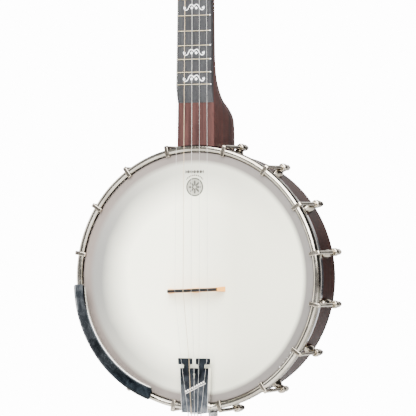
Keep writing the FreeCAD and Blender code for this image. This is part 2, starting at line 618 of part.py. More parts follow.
def neck_section(z):
    """Cross-section of the neck's wood at height z: flat front, rounded back, boxier in the heel."""
    share = heel_share(z)
    middle = (treble_edge(z) + bass_edge(z)) / 2
    half = (treble_edge(z) - bass_edge(z)) / 2
    depth = neck_back(z) - WOOD_FACE_Y
    squareness = smooth_step((HEEL_BOX_TOP_Z - z) / HEEL_BOX_SPAN)
    power = 2.6 + 3.9 * share + 4.5 * squareness
    points = []
    for i in range(19):
        angle = math.pi * i / 18
        across, deep = math.cos(angle), math.sin(angle)
        reach = (abs(across) ** power + abs(deep) ** power) ** (-1 / power)
        x = across * reach
        y = deep * reach
        taper = 1 - 0.13 * share * y * (1 - 0.85 * squareness)
        points.append(V(middle + half * taper * x, WOOD_FACE_Y + depth * y, z))
    points[0] = V(treble_edge(z), WOOD_FACE_Y, z)
    points[-1] = V(bass_edge(z), WOOD_FACE_Y, z)
    back = Part.BSplineCurve()
    back.interpolate(points)
    front = Part.LineSegment(points[-1], points[0])
    return Part.Wire([back.toShape(), front.toShape()])


def peghead_outline(out):
    """Closed outline of the peghead on the plane at height out above its wood's face."""
    right = [peg_point(x, s, out) for x, s in PEG_HALF]
    left = [peg_point(-x, s, out) for x, s in reversed(PEG_HALF)]
    sides = []
    for points in (right, left):
        curve = Part.BSplineCurve()
        curve.interpolate(points)
        sides.append(curve.toShape())
    top = Part.LineSegment(right[-1], left[0]).toShape()
    bottom = Part.LineSegment(left[-1], right[0]).toShape()
    return Part.Face(Part.Wire([sides[0], top, sides[1], bottom]))


def truss_line():
    """Foot and direction of the truss rod, which follows the middle of the neck."""
    foot = V((treble_edge(240) + bass_edge(240)) / 2, 3.0, 240.0)
    tip = V(NUT_X, 3.0, NUT_Z + 19.0)
    return foot, (tip - foot).normalize(), (tip - foot).Length


def make_truss_rod():
    foot, direction, length = truss_line()
    return rod(foot, direction, 2.5, length)


def make_truss_rod_nut():
    foot, direction, length = truss_line()
    seat = foot + direction * (length - 9.0)
    return rounded_hexagon(seat, direction, 7.9, 8.0).cut(rod(seat, direction, 2.5, 8.0))


def truss_pocket():
    return box(NUT_X - 6, NUT_X + 6, WOOD_FACE_Y - 6, 8.2, NUT_Z + 9.5, NUT_Z + 27)


def heel_cutter():
    """The space of the pot, its hoop and its skirt, with room to put the neck on."""
    return ring([(0, -30), (HOOP_OUTER_R + 0.5, -30), (HOOP_OUTER_R + 0.5, 21), (154.0, 21),
                 (154.0, SKIRT_END_Y + 0.5), (RIM_OUTER_R, SKIRT_END_Y + 0.5), (RIM_OUTER_R, 90), (0, 90)])


def bolt_holes_in_heel():
    return [rod(V(0, ROD_Y, ROD_END_Z), AXIS_Z, LAG_R, LAG_TIP_Z - ROD_END_Z),
            rod(V(0, UPPER_LAG_Y, ROD_END_Z), AXIS_Z, LAG_R, UPPER_LAG_TIP_Z - ROD_END_Z)]


def peghead_tool(place, radius, low, high):
    """Cylinder along the peghead's normal at a tuner's place."""
    across, along = place
    return rod(peg_point(across, along, low), PEG_OUT, radius, high - low)


def make_neck():
    heights = [148 + 4 * i for i in range(32)] + [290, 340, 420, SHOULDER_LOW_Z]
    heights += [SHOULDER_LOW_Z + 2 * i for i in range(1, 9)] + [590, NUT_Z + 5.0]
    shaft = Part.makeLoft([neck_section(z) for z in heights], True, True)
    slab = peghead_outline(0).extrude(PEG_OUT * -PEGHEAD_THICK)
    wood = shaft.fuse(slab).cut(heel_cutter())
    foot, direction, length = truss_line()
    tools = [rod(foot, direction, 2.55, length), truss_pocket()] + bolt_holes_in_heel()
    tools += [peghead_tool(p, BUSH_R, -PEGHEAD_THICK - 9, 3) for p in TUNER_PLACES.values()]
    tools += [peghead_tool(p, 0.8, -3.8, 1) for p in cover_screw_places()]
    tools.append(rod(fifth_origin() - V(3, 0, 0), AXIS_X, FIFTH_HOUSING_R, 3 + FIFTH_HOUSING_DEPTH))
    return wood.cut(tools)


def board_outline_points():
    heights = [BOARD_END_Z, SHOULDER_LOW_Z]
    heights += [SHOULDER_LOW_Z + (SHOULDER_HIGH_Z - SHOULDER_LOW_Z) * i / 12 for i in range(1, 13)]
    heights.append(NUT_Z)
    points = [(bass_edge(z), WOOD_FACE_Y, z) for z in heights]
    points += [(treble_edge(z), WOOD_FACE_Y, z) for z in (NUT_Z, BOARD_END_Z)]
    return points


def fret_bar(number):
    """One fret: rounded crown on the board's face and a thin tang below it."""
    z = fret_z(number)
    x0, x1 = bass_edge(z) + 0.25, treble_edge(z) - 0.25
    crown_r = (FRET_WIDTH ** 2 / 4 + FRET_HEIGHT ** 2) / (2 * FRET_HEIGHT)
    crown = rod(V(x0, BOARD_FACE_Y - FRET_HEIGHT + crown_r, z), AXIS_X, crown_r, x1 - x0)
    crown = crown.common(box(x0, x1, BOARD_FACE_Y - 3, BOARD_FACE_Y, z - 3, z + 3))
    tang = box(x0 + 0.6, x1 - 0.6, BOARD_FACE_Y - 0.1, BOARD_FACE_Y + 1.6, z - 0.3, z + 0.3)
    return crown.fuse(tang).removeSplitter()


def make_frets():
    return Part.makeCompound([fret_bar(n) for n in range(1, FRET_COUNT + 1)])


INLAY_FRETS = (3, 5, 7, 10, 12, 15, 17)
INLAY_THICK = 0.8


def inlay_middle(number):
    z = (fret_z(number) + fret_z(number - 1)) / 2
    return (treble_edge(z) + bass_edge(z)) / 2, z


SCROLL_LINE = [(0, 0.6), (1.8, 3.0), (4.2, 3.6), (6.6, 1.2), (8.6, -2.2), (11.6, -3.4), (13.8, -1.4),
               (13.4, 1.2)]
SCROLL_DOTS = [(3.1, -0.8, 1.6), (12.2, -0.6, 1.0)]
SCROLL_SPAN = 29.0
SCROLL_HALF_WIDTH = 0.5


def stroke_edge(points, half_width):
    """Smooth edge at half_width to the left of a line through points on the board's face."""
    places = [V(x, BOARD_FACE_Y, z) for x, z in points]
    edge = []
    for i, place in enumerate(places):
        ahead = places[min(i + 1, len(places) - 1)] - places[max(i - 1, 0)]
        edge.append(place + ahead.cross(AXIS_Y).normalize() * half_width)
    curve = Part.BSplineCurve()
    curve.interpolate(edge)
    return curve.toShape(), edge


def scroll(number):
    """Curled inlay with dots, alike on both sides, scaled to the board's width at its fret."""
    x, z = inlay_middle(number)
    size = min(1.0, 0.62 * (treble_edge(z) - bass_edge(z)) / SCROLL_SPAN)
    parts = []
    for side in (1, -1):
        points = [(x + side * a * size, z + b * size) for a, b in SCROLL_LINE]
        near, near_points = stroke_edge(points, SCROLL_HALF_WIDTH * size)
        far, far_points = stroke_edge(points, -SCROLL_HALF_WIDTH * size)
        caps = [Part.makeLine(near_points[i], far_points[i]) for i in (0, -1)]
        parts.append(Part.Face(closed_wire([near, far] + caps)).extrude(V(0, INLAY_THICK, 0)))
        for a, b, radius in SCROLL_DOTS:
            centre = V(x + side * a * size, BOARD_FACE_Y, z + b * size)
            parts.append(rod(centre, AXIS_Y, radius * size, INLAY_THICK))
    return parts[0].fuse(parts[1:]).removeSplitter()


def make_inlays():
    return Part.makeCompound([scroll(n) for n in INLAY_FRETS])


def make_side_dots():
    dots = []
    for number in (7, 10, 12, 15, 17):
        z = (fret_z(number) + fret_z(number - 1)) / 2
        dots.append(rod(V(bass_edge(z), BOARD_FACE_Y + 2.6, z), AXIS_X, 1.1, 2.0))
    return Part.makeCompound(dots)


PIP_Z = fret_z(5) + 4.6


def make_fretboard(inlays, dots):
    board = polygon_prism(board_outline_points(), V(0, -BOARD_THICK, 0))
    ramp = polygon_prism([(-40, BOARD_FACE_Y, RAMP_TOP_Z), (-40, WOOD_FACE_Y - 0.4, BOARD_END_Z),
                          (-40, WOOD_FACE_Y, BOARD_END_Z - 5), (-40, BOARD_FACE_Y - 2, BOARD_END_Z - 5),
                          (-40, BOARD_FACE_Y - 2, RAMP_TOP_Z)], V(80, 0, 0))
    slots = []
    for number in range(1, FRET_COUNT + 1):
        z = fret_z(number)
        slots.append(box(bass_edge(z) + 0.85, treble_edge(z) - 0.85, BOARD_FACE_Y - 1, BOARD_FACE_Y + 1.6,
                         z - 0.3, z + 0.3))
    board = board.cut([ramp] + slots + inlays.Solids)
    pip_hole = rod(V(string_x(5, PIP_Z), BOARD_FACE_Y - 1, PIP_Z), AXIS_Y, 1.5, 5.5)
    thin_dots = [rod(V(d.BoundBox.XMin - 2, BOARD_FACE_Y + 2.6, d.BoundBox.Center.z), AXIS_X, 1.1,
                     d.BoundBox.XLength + 2) for d in dots.Solids]
    return board.cut([pip_hole] + thin_dots)


def string_y(z):
    return STRING_Y_AT_NUT + (STRING_Y_AT_BRIDGE - STRING_Y_AT_NUT) * (NUT_Z - z) / SCALE_LENGTH


def make_nut(strings):
    """Nut blank with a rounded back edge and a slot for each of the four long strings."""
    blank = box(NUT_X - NUT_WIDTH / 2, NUT_X + NUT_WIDTH / 2, -11.9, WOOD_FACE_Y, NUT_Z, NUT_Z + 5.0)
    top = [e for e in blank.Edges if e.BoundBox.YMax < -11.8 and e.BoundBox.ZMin > NUT_Z + 4.9]
    blank = blank.makeFillet(2.0, top)
    open_tops = []
    for number, x in STRING_AT_NUT.items():
        wide = STRING_R[number] + SLOT_CLEAR
        open_tops.append(box(x - wide, x + wide, -14, STRING_Y_AT_NUT, NUT_Z - 1, NUT_Z + 6))
    return blank.cut(open_tops + strings)


def make_fifth_string_nut(string):
    """Small slotted post behind the fifth fret, open on the side of the fifth peg."""
    x = string_x(5, PIP_Z)
    tip = string_y(PIP_Z) - 0.9
    post = rod(V(x, tip, PIP_Z), AXIS_Y, 1.5, BOARD_FACE_Y + 4.5 - tip)
    half = STRING_R[5] + SLOT_CLEAR
    slot = box(x - half, x + half, tip - 1, string_y(PIP_Z), PIP_Z - 3, PIP_Z)
    shoulder = box(x - 3, x + half, tip - 1, string_y(PIP_Z) + 1.2, PIP_Z, PIP_Z + 3)
    return post.cut([slot, shoulder, string])


def make_overlay():
    face = peghead_outline(0).extrude(PEG_OUT * OVERLAY_THICK)
    tools = [peghead_tool(p, BUSH_R, -3, 6) for p in TUNER_PLACES.values()]
    for screw in cover_screw_places():
        tools.append(peghead_tool(screw, 0.8, -6, 3))
    below_nut = box(-60, 60, -30, 30, NUT_Z - 5, NUT_Z + 5.0)
    return face.cut(tools + [truss_pocket(), below_nut])


def cover_screw_places():
    return [(-6.8, 26.0), (6.8, 26.0), (0.0, 26.0 + 7.5)]


def make_truss_rod_cover():
    """Bell-shaped plate over the truss rod's pocket."""
    half = [(8.2, 3.2), (8.8, 12.0), (9.6, 20.0), (9.8, 27.0), (6.5, 31.5), (3.4, 36.4)]
    right = Part.BSplineCurve()
    right.interpolate([peg_point(x, s, OVERLAY_THICK) for x, s in half])
    left = Part.BSplineCurve()
    left.interpolate([peg_point(-x, s, OVERLAY_THICK) for x, s in reversed(half)])
    top = Part.LineSegment(peg_point(3.4, 36.4, OVERLAY_THICK), peg_point(-3.4, 36.4, OVERLAY_THICK))
    low = Part.LineSegment(peg_point(-8.2, 3.2, OVERLAY_THICK), peg_point(8.2, 3.2, OVERLAY_THICK))
    outline = Part.Wire([right.toShape(), top.toShape(), left.toShape(), low.toShape()])
    plate = Part.Face(outline).extrude(PEG_OUT * 1.6)
    holes = [peghead_tool(p, 0.8, 0, 5) for p in cover_screw_places()]
    return plate.cut(holes)


def make_cover_screws():
    screws = []
    for across, along in cover_screw_places():
        seat = OVERLAY_THICK + 1.6
        head = rod(peg_point(across, along, seat), PEG_OUT, 1.9, 1.0)
        shank = rod(peg_point(across, along, seat - 7.0), PEG_OUT, 0.8, 7.1)
        screws.append(head.fuse(shank).removeSplitter())
    return Part.makeCompound(screws)


# ==== tuners: built about a local axis that points out along the peghead's normal =================
def placed(shape, origin, direction):
    shape.Placement = FreeCAD.Placement(origin, FreeCAD.Rotation(AXIS_Z, direction)).multiply(shape.Placement)
    return shape


def disc(radius, low, high):
    return Part.makeCylinder(radius, high - low, V(0, 0, low), AXIS_Z)


def rollers(radius, orbit, low, high):
    turns = [math.radians(a) for a in (90, 210, 330)]
    places = [V(orbit * math.cos(a), orbit * math.sin(a), low) for a in turns]
    return [Part.makeCylinder(radius, high - low, p, AXIS_Z) for p in places]


def winding(radius, string_radius, low, turns):
    heights = [low + 2.05 * string_radius * i for i in range(turns)]
    return [Part.makeTorus(radius + string_radius, string_radius, V(0, 0, z), AXIS_Z) for z in heights]


BACK_OUT = -PEGHEAD_THICK      # the peghead's back face on the local axis
CAVITY_TOP = BACK_OUT - 1.2
CAVITY_LOW = BACK_OUT - HOUSING_DEPTH + 1.6
HOUSING_LOW = BACK_OUT - HOUSING_DEPTH


def tuner_post(number):
    """Post with its cross hole, planet carrier, three planets and the string's turns."""
    shaft = disc(POST_R, CAVITY_TOP - 0.3, POST_TOP)
    tip = [e for e in shaft.Edges if e.BoundBox.ZMin > POST_TOP - 0.01]
    shaft = shaft.makeFillet(0.8, tip)
    waist = disc(POST_R + 2, WINDING_HEIGHT - 0.9, WINDING_HEIGHT + 4.5).cut(
        disc(POST_WAIST_R, WINDING_HEIGHT - 2, WINDING_HEIGHT + 6))
    carrier = disc(6.1, CAVITY_TOP - 2.2, CAVITY_TOP - 0.3)
    hole = rod(V(-5, 0, WINDING_HEIGHT + 3.0), AXIS_X, 0.7, 10)
    shaft = shaft.fuse(carrier).cut([waist, hole])
    planets = rollers(PLANET_R - GEAR_GAP / 2, PLANET_ORBIT, CAVITY_LOW + 0.4, CAVITY_TOP - 2.2)
    post = shaft.fuse(planets).removeSplitter()
    turns = winding(POST_WAIST_R, STRING_R[number], WINDING_HEIGHT - 0.6 + STRING_R[number], 4)
    return Part.makeCompound([post] + turns)


def tuner_bushing():
    sleeve = disc(BUSH_R, -6.0, OVERLAY_THICK + 0.1)
    collar = disc(6.2, OVERLAY_THICK, OVERLAY_THICK + 0.9)
    nut = rounded_hexagon(V(0, 0, OVERLAY_THICK + 0.8), AXIS_Z, 10.0, 1.8)
    return sleeve.fuse([collar, nut]).removeSplitter().cut(disc(POST_R + 0.08, -10, 10))


def tuner_housing():
    outer = disc(HOUSING_R, HOUSING_LOW, BACK_OUT)
    rim = [e for e in outer.Edges if e.BoundBox.ZMax < HOUSING_LOW + 0.01]
    outer = outer.makeFillet(1.6, rim)
    neck = disc(BUSH_R, BACK_OUT - 0.1, BACK_OUT + 5.0)
    cavity = disc(CAVITY_R, CAVITY_LOW, CAVITY_TOP)
    shaft_hole = disc(1.58, HOUSING_LOW - 2, CAVITY_LOW + 1)
    post_hole = disc(POST_R + 0.08, CAVITY_TOP - 1, BACK_OUT + 6)
    return outer.fuse(neck).removeSplitter().cut([cavity, shaft_hole, post_hole])


def tuner_shaft():
    sun = disc(PLANET_ORBIT - PLANET_R - GEAR_GAP, CAVITY_LOW + 0.4, CAVITY_TOP - 2.5)
    stem = disc(1.5, HOUSING_LOW - 12.0, CAVITY_LOW + 0.5)
    collar = disc(4.0, HOUSING_LOW - KNOB_GAP - 1.6, HOUSING_LOW - KNOB_GAP)
    return sun.fuse([stem, collar]).removeSplitter()


def knob_solid(half_long, half_wide, height):
    """Oval button with rounded edges whose outer or inner end lies at zero."""
    blank = Part.makeCylinder(1.0, 1.0, V(0, 0, -1.0), AXIS_Z)
    stretch = FreeCAD.Matrix()
    stretch.A11, stretch.A22, stretch.A33 = half_long, half_wide, height
    blank = blank.transformGeometry(stretch)
    rims = [e for e in blank.Edges if e.BoundBox.ZLength < 0.01]
    return blank.makeFillet(2.6, rims)


def tuner_knob():
    knob = knob_solid(10.5, 7.0, 12.5)
    knob.translate(V(0, 0, HOUSING_LOW - KNOB_GAP - 1.6))
    return knob.cut(disc(1.5, HOUSING_LOW - 12.1, HOUSING_LOW))


def at_tuner(shape, number):
    across, along = TUNER_PLACES[number]
    return placed(shape, peg_point(across, along, 0), PEG_OUT)


# ---- fifth peg: its axis points out of the neck's bass side --------------------------------------
def fifth_origin():
    return V(bass_edge(FIFTH_Z), FIFTH_Y, FIFTH_Z)


def at_fifth(shape):
    return placed(shape, fifth_origin(), V(-1, 0, 0))


def fifth_housing():
    body = disc(FIFTH_HOUSING_R, -FIFTH_HOUSING_DEPTH, 0.1).fuse(disc(5.7, 0.05, 1.6)).removeSplitter()
    lip = [e for e in body.Edges if e.BoundBox.ZMin > 1.55]
    body = body.makeFillet(0.6, lip)
    return body.cut([disc(FIFTH_CAVITY_R, 1.2 - FIFTH_HOUSING_DEPTH, -1.2), disc(2.88, -2, 3)])


def fifth_post():
    barrel = disc(2.8, -3.5, 11.0)
    waist = disc(5, FIFTH_WINDING - 1.6, FIFTH_WINDING + 2.4).cut(disc(FIFTH_WAIST_R, 0, 12))
    carrier = disc(4.0, -3.6, -1.6)
    planets = rollers(FIFTH_PLANET_R - GEAR_GAP / 2, FIFTH_ORBIT, -10.6, -3.6)
    barrel = barrel.fuse([carrier] + planets).removeSplitter().cut([waist, disc(1.28, -5, 12)])
    turns = winding(FIFTH_WAIST_R, STRING_R[5], FIFTH_WINDING - 0.6, 4)
    return Part.makeCompound([barrel] + turns)


def fifth_shaft():
    sun = disc(FIFTH_ORBIT - FIFTH_PLANET_R - GEAR_GAP, -10.6, -3.9)
    stem = disc(1.2, -4.0, 22.8)
    collar = disc(4.2, 11.4, 13.0)
    return sun.fuse([stem, collar]).removeSplitter()


def fifth_knob():
    knob = knob_solid(9.5, 6.5, 11.5)
    knob.translate(V(0, 0, 24.5))
    return knob.cut(disc(1.2, 12.0, 23.0))


# ==== strings =====================================================================================
def wire_through(points, radius):
    """Round wire along straight stretches, mitred at every bend."""
    start = Part.Wire(Part.makeCircle(radius, points[0], points[1] - points[0]))
    return Part.makePolygon(points).makePipeShell([start], True, False, 1)


def tangent_end(start, middle, out_axis, radius, side):
    """Point where a taut string from start meets a winding of the given radius."""
    away = start - middle
    away = away - out_axis * away.dot(out_axis)
    reach = away.Length
    turn = math.degrees(math.acos(radius / reach)) * side
    spoke = FreeCAD.Rotation(out_axis, turn).multVec(away.normalize())
    return middle + spoke * radius


def short_of(meet, start, winding_r, string_r):
    """Point on the string where it still clears the winding that it runs onto."""
    clear = winding_r + 2 * string_r + WINDING_CLEAR
    return meet - (meet - start).normalize() * math.sqrt(clear ** 2 - winding_r ** 2)


def string_end(number):
    """The bend over the nut, and the string's end beside the winding that turns."""
    r = STRING_R[number]
    if number == 5:
        bend = V(string_x(5, PIP_Z), string_y(PIP_Z), PIP_Z)
        out, turn_r, side = V(-1, 0, 0), FIFTH_WAIST_R + r, -1
        middle = fifth_origin() + out * FIFTH_WINDING
    else:
        bend = V(STRING_AT_NUT[number], STRING_Y_AT_NUT, NUT_Z + 2.5)
        across, along = TUNER_PLACES[number]
        out, turn_r, side = PEG_OUT, POST_WAIST_R + r, 1 if across < 0 else -1
        middle = peg_point(across, along, WINDING_HEIGHT)
    meet = tangent_end(bend, middle, out, turn_r, side)
    return [bend, short_of(meet, bend, turn_r, r)]


def bridge_point(number):
    x = STRING_AT_BRIDGE[number]
    return V(x, STRING_Y_AT_BRIDGE, BRIDGE_Z - x * math.tan(math.radians(BRIDGE_SLANT)))


def make_string(number):
    r = STRING_R[number]
    face = TAIL_FACE_Y - r - 0.02
    points = [V(STRING_AT_TAIL_END[number], face, TAIL_END_Z - 2.4),
              V(STRING_AT_TAIL_TOP[number], face, TAIL_TOP_Z - 0.6), bridge_point(number)]
    return wire_through(points + string_end(number), r)


# ==== export ======================================================================================
ROW_ORIGIN = V(NUT_X, 5.0, NUT_Z - 4.0)


def save(name, shape):
    moved = shape.copy()
    moved.translate(ROW_ORIGIN * -1)
    solids = moved.Solids
    if len(solids) == 1:
        moved = solids[0]
    moved.exportStep("parts/" + name + ".step")


def main():
    os.makedirs("parts", exist_ok=True)
    rim = make_rim()
    arm = make_armrest()
    legs = make_armrest_legs(arm)
    screw_hole = rod(V(RIM_OUTER_R - 10, ARM_SCREW_Y, 0), AXIS_X, 1.6, 20)
    save("rim", rim.cut([turned_to(screw_hole, a) for a in ARM_LEG_ANGLES]))
    save("tone_ring_rod", make_tone_rod())
    save("tone_ring_sleeve", make_tone_sleeve())
    save("head", make_head())
    save("flesh_hoop", make_flesh_hoop())
    save("tension_hoop", make_tension_hoop())
    save("bracket_hooks", around_the_pot(make_hook()))
    save("bracket_shoes", around_the_pot(make_shoe()))
    save("hook_nuts", around_the_pot(make_hook_nut()))
    save("shoe_bolts", around_the_pot(make_shoe_bolt()))
    save("coordinator_rod", make_coordinator_rod())
    save("neck_lag_bolts", make_neck_lag_bolts())
    save("rod_nuts", make_rod_nuts())
    save("end_bolt", make_end_bolt())
    save("end_spacer", make_end_spacer())
    save("bridge_base", make_bridge_base())
    strings = {number: make_string(number) for number in STRING_R}
    save("bridge_cap", make_bridge_cap())
    save("tailpiece", make_tailpiece())
    save("tailpiece_pins", make_tailpiece_pins())
    save("tailpiece_hanger", make_tailpiece_hanger())
    save("tailpiece_screw", tail_screw(0))
    save("armrest", arm)
    save("armrest_legs", legs)
    save("armrest_screws", make_armrest_screws())
    save("neck", make_neck())
    inlays, dots = make_inlays(), make_side_dots()
    save("fretboard", make_fretboard(inlays, dots))
    save("frets", make_frets())
    save("fret_inlays", inlays)
    save("side_dots", dots)
    save("nut", make_nut(list(strings.values())))
    save("fifth_string_nut", make_fifth_string_nut(strings[5]))
    save("truss_rod", make_truss_rod())
    save("truss_rod_nut", make_truss_rod_nut())
    save("peghead_overlay", make_overlay())
    save("truss_rod_cover", make_truss_rod_cover())
    save("truss_cover_screws", make_cover_screws())
    save("tuner_housings", Part.makeCompound([at_tuner(tuner_housing(), n) for n in (1, 2, 3, 4)]))
    save("tuner_bushings", Part.makeCompound([at_tuner(tuner_bushing(), n) for n in (1, 2, 3, 4)]))
    for number in (1, 2, 3, 4):
        save("tuner_post_%d" % number, at_tuner(tuner_post(number), number))
        save("tuner_shaft_%d" % number, at_tuner(tuner_shaft(), number))
        save("tuner_knob_%d" % number, at_tuner(tuner_knob(), number))
    save("fifth_peg_housing", at_fifth(fifth_housing()))
    save("fifth_peg_post", at_fifth(fifth_post()))
    save("fifth_peg_shaft", at_fifth(fifth_shaft()))
    save("fifth_peg_knob", at_fifth(fifth_knob()))
    for number, string in strings.items():
        save("string_%d" % number, string)


main()
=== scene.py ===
"""Looks of the open-back banjo: materials, ornament and studio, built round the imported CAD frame."""
import bpy
import math
from mathutils import Matrix, Vector


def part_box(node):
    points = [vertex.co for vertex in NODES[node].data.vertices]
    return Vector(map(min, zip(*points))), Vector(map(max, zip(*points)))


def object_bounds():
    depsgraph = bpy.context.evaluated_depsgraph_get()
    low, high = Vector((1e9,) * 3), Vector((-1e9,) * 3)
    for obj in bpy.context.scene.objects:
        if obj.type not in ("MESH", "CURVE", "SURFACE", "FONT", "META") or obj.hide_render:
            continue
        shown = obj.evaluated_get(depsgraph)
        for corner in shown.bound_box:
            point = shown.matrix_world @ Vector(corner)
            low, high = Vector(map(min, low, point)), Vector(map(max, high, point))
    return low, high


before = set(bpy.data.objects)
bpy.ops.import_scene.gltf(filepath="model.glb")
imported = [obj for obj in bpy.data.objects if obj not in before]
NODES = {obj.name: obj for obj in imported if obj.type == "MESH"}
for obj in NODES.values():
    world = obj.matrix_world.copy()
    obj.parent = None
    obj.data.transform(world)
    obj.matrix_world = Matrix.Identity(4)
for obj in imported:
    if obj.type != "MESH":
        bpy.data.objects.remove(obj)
CAD_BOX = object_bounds()
MM = 0.001
WELD_REACH = 0.002 * MM
SHARP_ANGLE = math.radians(38)
SHEET_SHARP_ANGLE = math.radians(18)


# ---- places worked out from the frame ---------------------------------------------------------
def middle(node):
    low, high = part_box(node)
    return (low + high) / 2


POT = Vector((middle("rim").x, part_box("head")[0].y, middle("rim").z))
RIM_R = (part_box("rim")[1].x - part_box("rim")[0].x) / 2


def pot_point(x, y, z):
    """A point in millimetres from the middle of the head's face, as a place in the frame."""
    return POT + Vector((x, y, z)) * MM


# ---- head film: radii are from the pot's axis --------------------------------------------------
# Painted light: the open film is painted lighter towards the left of the middle and dimmer towards the
# right.
FILM_LIT_X, FILM_SHADED_X = -30 * MM, 50 * MM
FILM_LIT, FILM_SHADED = (0.90, 0.892, 0.72), (0.62, 0.612, 0.485)
# Painted shade: the open film is painted darker towards its edge on one side.
SIDE_SHADE_ANGLE = math.radians(172)
SIDE_SHADE_START_R, SIDE_SHADE_END_R = 92 * MM, 128 * MM
SIDE_SHADE_WOBBLE = 12 * MM
FILM_SIDE_SHADE = (0.155, 0.152, 0.140)
# Painted shadow: the rim's shadow seen through the film, painted as a darker band where the film lies over
# the rim.
RIM_SHADOW_START_R, RIM_SHADOW_END_R = 139 * MM, 145 * MM
RIM_SHADOW_WOBBLE = 2 * MM
RIM_SHADOW, RIM_SHADOW_SHADED_SIDE = (0.098, 0.090, 0.082), (0.150, 0.122, 0.106)
# Painted shadow: a dark line painted on the film where it meets the hoop.
HOOP_SHADOW_START_R, HOOP_SHADOW_END_R = 152.1 * MM, 153 * MM
HOOP_SHADOW_TONE = (0.02, 0.018, 0.016)

# ---- printed rosette: sizes are from its own middle --------------------------------------------
ROSETTE_PLACE = pot_point(-2.0, 0, 110.5)
INK = (0.014, 0.012, 0.010)
LEAF_COUNT = 8
LEAF_ROOT, LEAF_LENGTH, EYE_R = 2.0 * MM, 6.4 * MM, 1.8 * MM
RING_R, RING_HALF_WIDTH = 10.5 * MM, 0.75 * MM
FIELD_R, FIELD_INK = 10.0 * MM, 0.62
ARC_R, ARC_STEP, ARC_DOT_R, ARC_HALF_LENGTH = 14.4 * MM, 2.5 * MM, 0.95 * MM, 12.6 * MM
ROW_RISE, ROW_STEP, ROW_DOT_R, ROW_HALF_LENGTH = 18.6 * MM, 4.1 * MM, 1.9 * MM, 12.2 * MM

# ---- tailpiece: beads and the painted reflection falling down its front -------------------------
BEAD_MIDDLE = middle("tailpiece") + Vector((0.7, 0, -1.5)) * MM
BEAD_SLANT = math.radians(26)
BEAD_STEP = 3.3 * MM
BEAD_R = BEAD_STEP * 0.36
BEAD_HALF_LENGTH = BEAD_STEP * 4.5
BEAD_LINE_DROP, BEAD_LINE_HALF_WIDTH = BEAD_STEP * 0.75, 0.3 * MM
BEAD_TONE, BEAD_METAL_SHARE = (0.80, 0.76, 0.70), 0.25
# Painted reflection: dark on the flat front towards the bridge, paler lower down.
TAIL_DARK_DEPTH, TAIL_PALE_RISE = 20 * MM, 6 * MM
# Painted highlight on the tailpiece's edges and on faces turned away from the front.
TAIL_EDGE_HIGHLIGHT = (0.88, 0.86, 0.83)

# ---- armrest: radii are from the strip's own axis -------------------------------------------------
ARM_SHIFT, ARM_DIRECTION = 12, math.radians(215)
ARM_CENTRE = pot_point(ARM_SHIFT * math.cos(ARM_DIRECTION), 0, ARM_SHIFT * math.sin(ARM_DIRECTION))
ARM_LIP_R, ARM_LIP_END_R = 133.8 * MM, 134.3 * MM
ARM_INNER_SLOPE_R, ARM_FLAT_R = 135.4 * MM, 136.2 * MM
ARM_FLAT_END_R, ARM_OUTER_SLOPE_R = 145.5 * MM, 148 * MM
# Painted reflection darkening down the strip, painted shade on the slopes and a painted highlight along
# the inner lip.
ARM_DARK_RISE = 25 * MM
ARM_LIP_HIGHLIGHT, ARM_SLOPE_SHADE = (0.86, 0.83, 0.79), (0.012, 0.013, 0.014)

# ---- tension hoop and frets -----------------------------------------------------------------------
HOOP_WIDTH = 6.8 * MM
HOOP_FRONT_CROWN_R = 4.9 * MM
HOOP_SIDE_CROWN_R = 6.9 * MM
# Painted shade: two dark lines painted round the hoop.
FRONT_SHADE_LINE, FRONT_SHADE_LINE_HALF_WIDTH = -1.9 * MM, 0.45 * MM
BACK_SHADE_LINE, BACK_SHADE_LINE_HALF_WIDTH = 2.9 * MM, 0.5 * MM
SHADE_LINE_TONE = (0.045, 0.040, 0.034)
FRET_END_SLOPE = -0.0039
# Painted highlight: a bright glint at the treble end of each fret.
END_GLINT_LENGTH, END_GLINT_FADE = 1.2 * MM, 1.6 * MM

# ---- wear shared by the finishes --------------------------------------------------------------------
NOISE_LOW, NOISE_HIGH = 0.3, 0.7
CLOUD_LOW, CLOUD_HIGH = 0.35, 0.65
LINE_SOFTNESS = 0.15 * MM
FINE_RELIEF = 0.02 * MM
POLISHING_MARKS = 0.15
WIRE_TURNS = 600.0

# ---- camera -------------------------------------------------------------------------------------
CAMERA_AZIMUTH = math.radians(23.68)
CAMERA_ELEVATION = math.radians(-0.34)
CAMERA_ROLL = math.radians(0.29)
CAMERA_DISTANCE = 3.675
CAMERA_LENS = 262.1
CAMERA_TARGET = pot_point(15.5, 0, 84.9)


def make_camera():
    data = bpy.data.cameras.new("camera")
    data.lens = CAMERA_LENS
    data.sensor_width = 36
    data.clip_end = 50
    camera = bpy.data.objects.new("camera", data)
    bpy.context.scene.collection.objects.link(camera)
    across, along = math.cos(CAMERA_ELEVATION), math.sin(CAMERA_ELEVATION)
    back = Vector((math.sin(CAMERA_AZIMUTH) * across, -math.cos(CAMERA_AZIMUTH) * across, along))
    right = Vector((0, 0, 1)).cross(back).normalized()
    up = back.cross(right)
    turn = Matrix.Rotation(-CAMERA_ROLL, 3, back)
    facing = Matrix((turn @ right, turn @ up, back)).transposed().to_4x4()
    camera.matrix_world = Matrix.Translation(CAMERA_TARGET + back * CAMERA_DISTANCE) @ facing
    bpy.context.scene.camera = camera


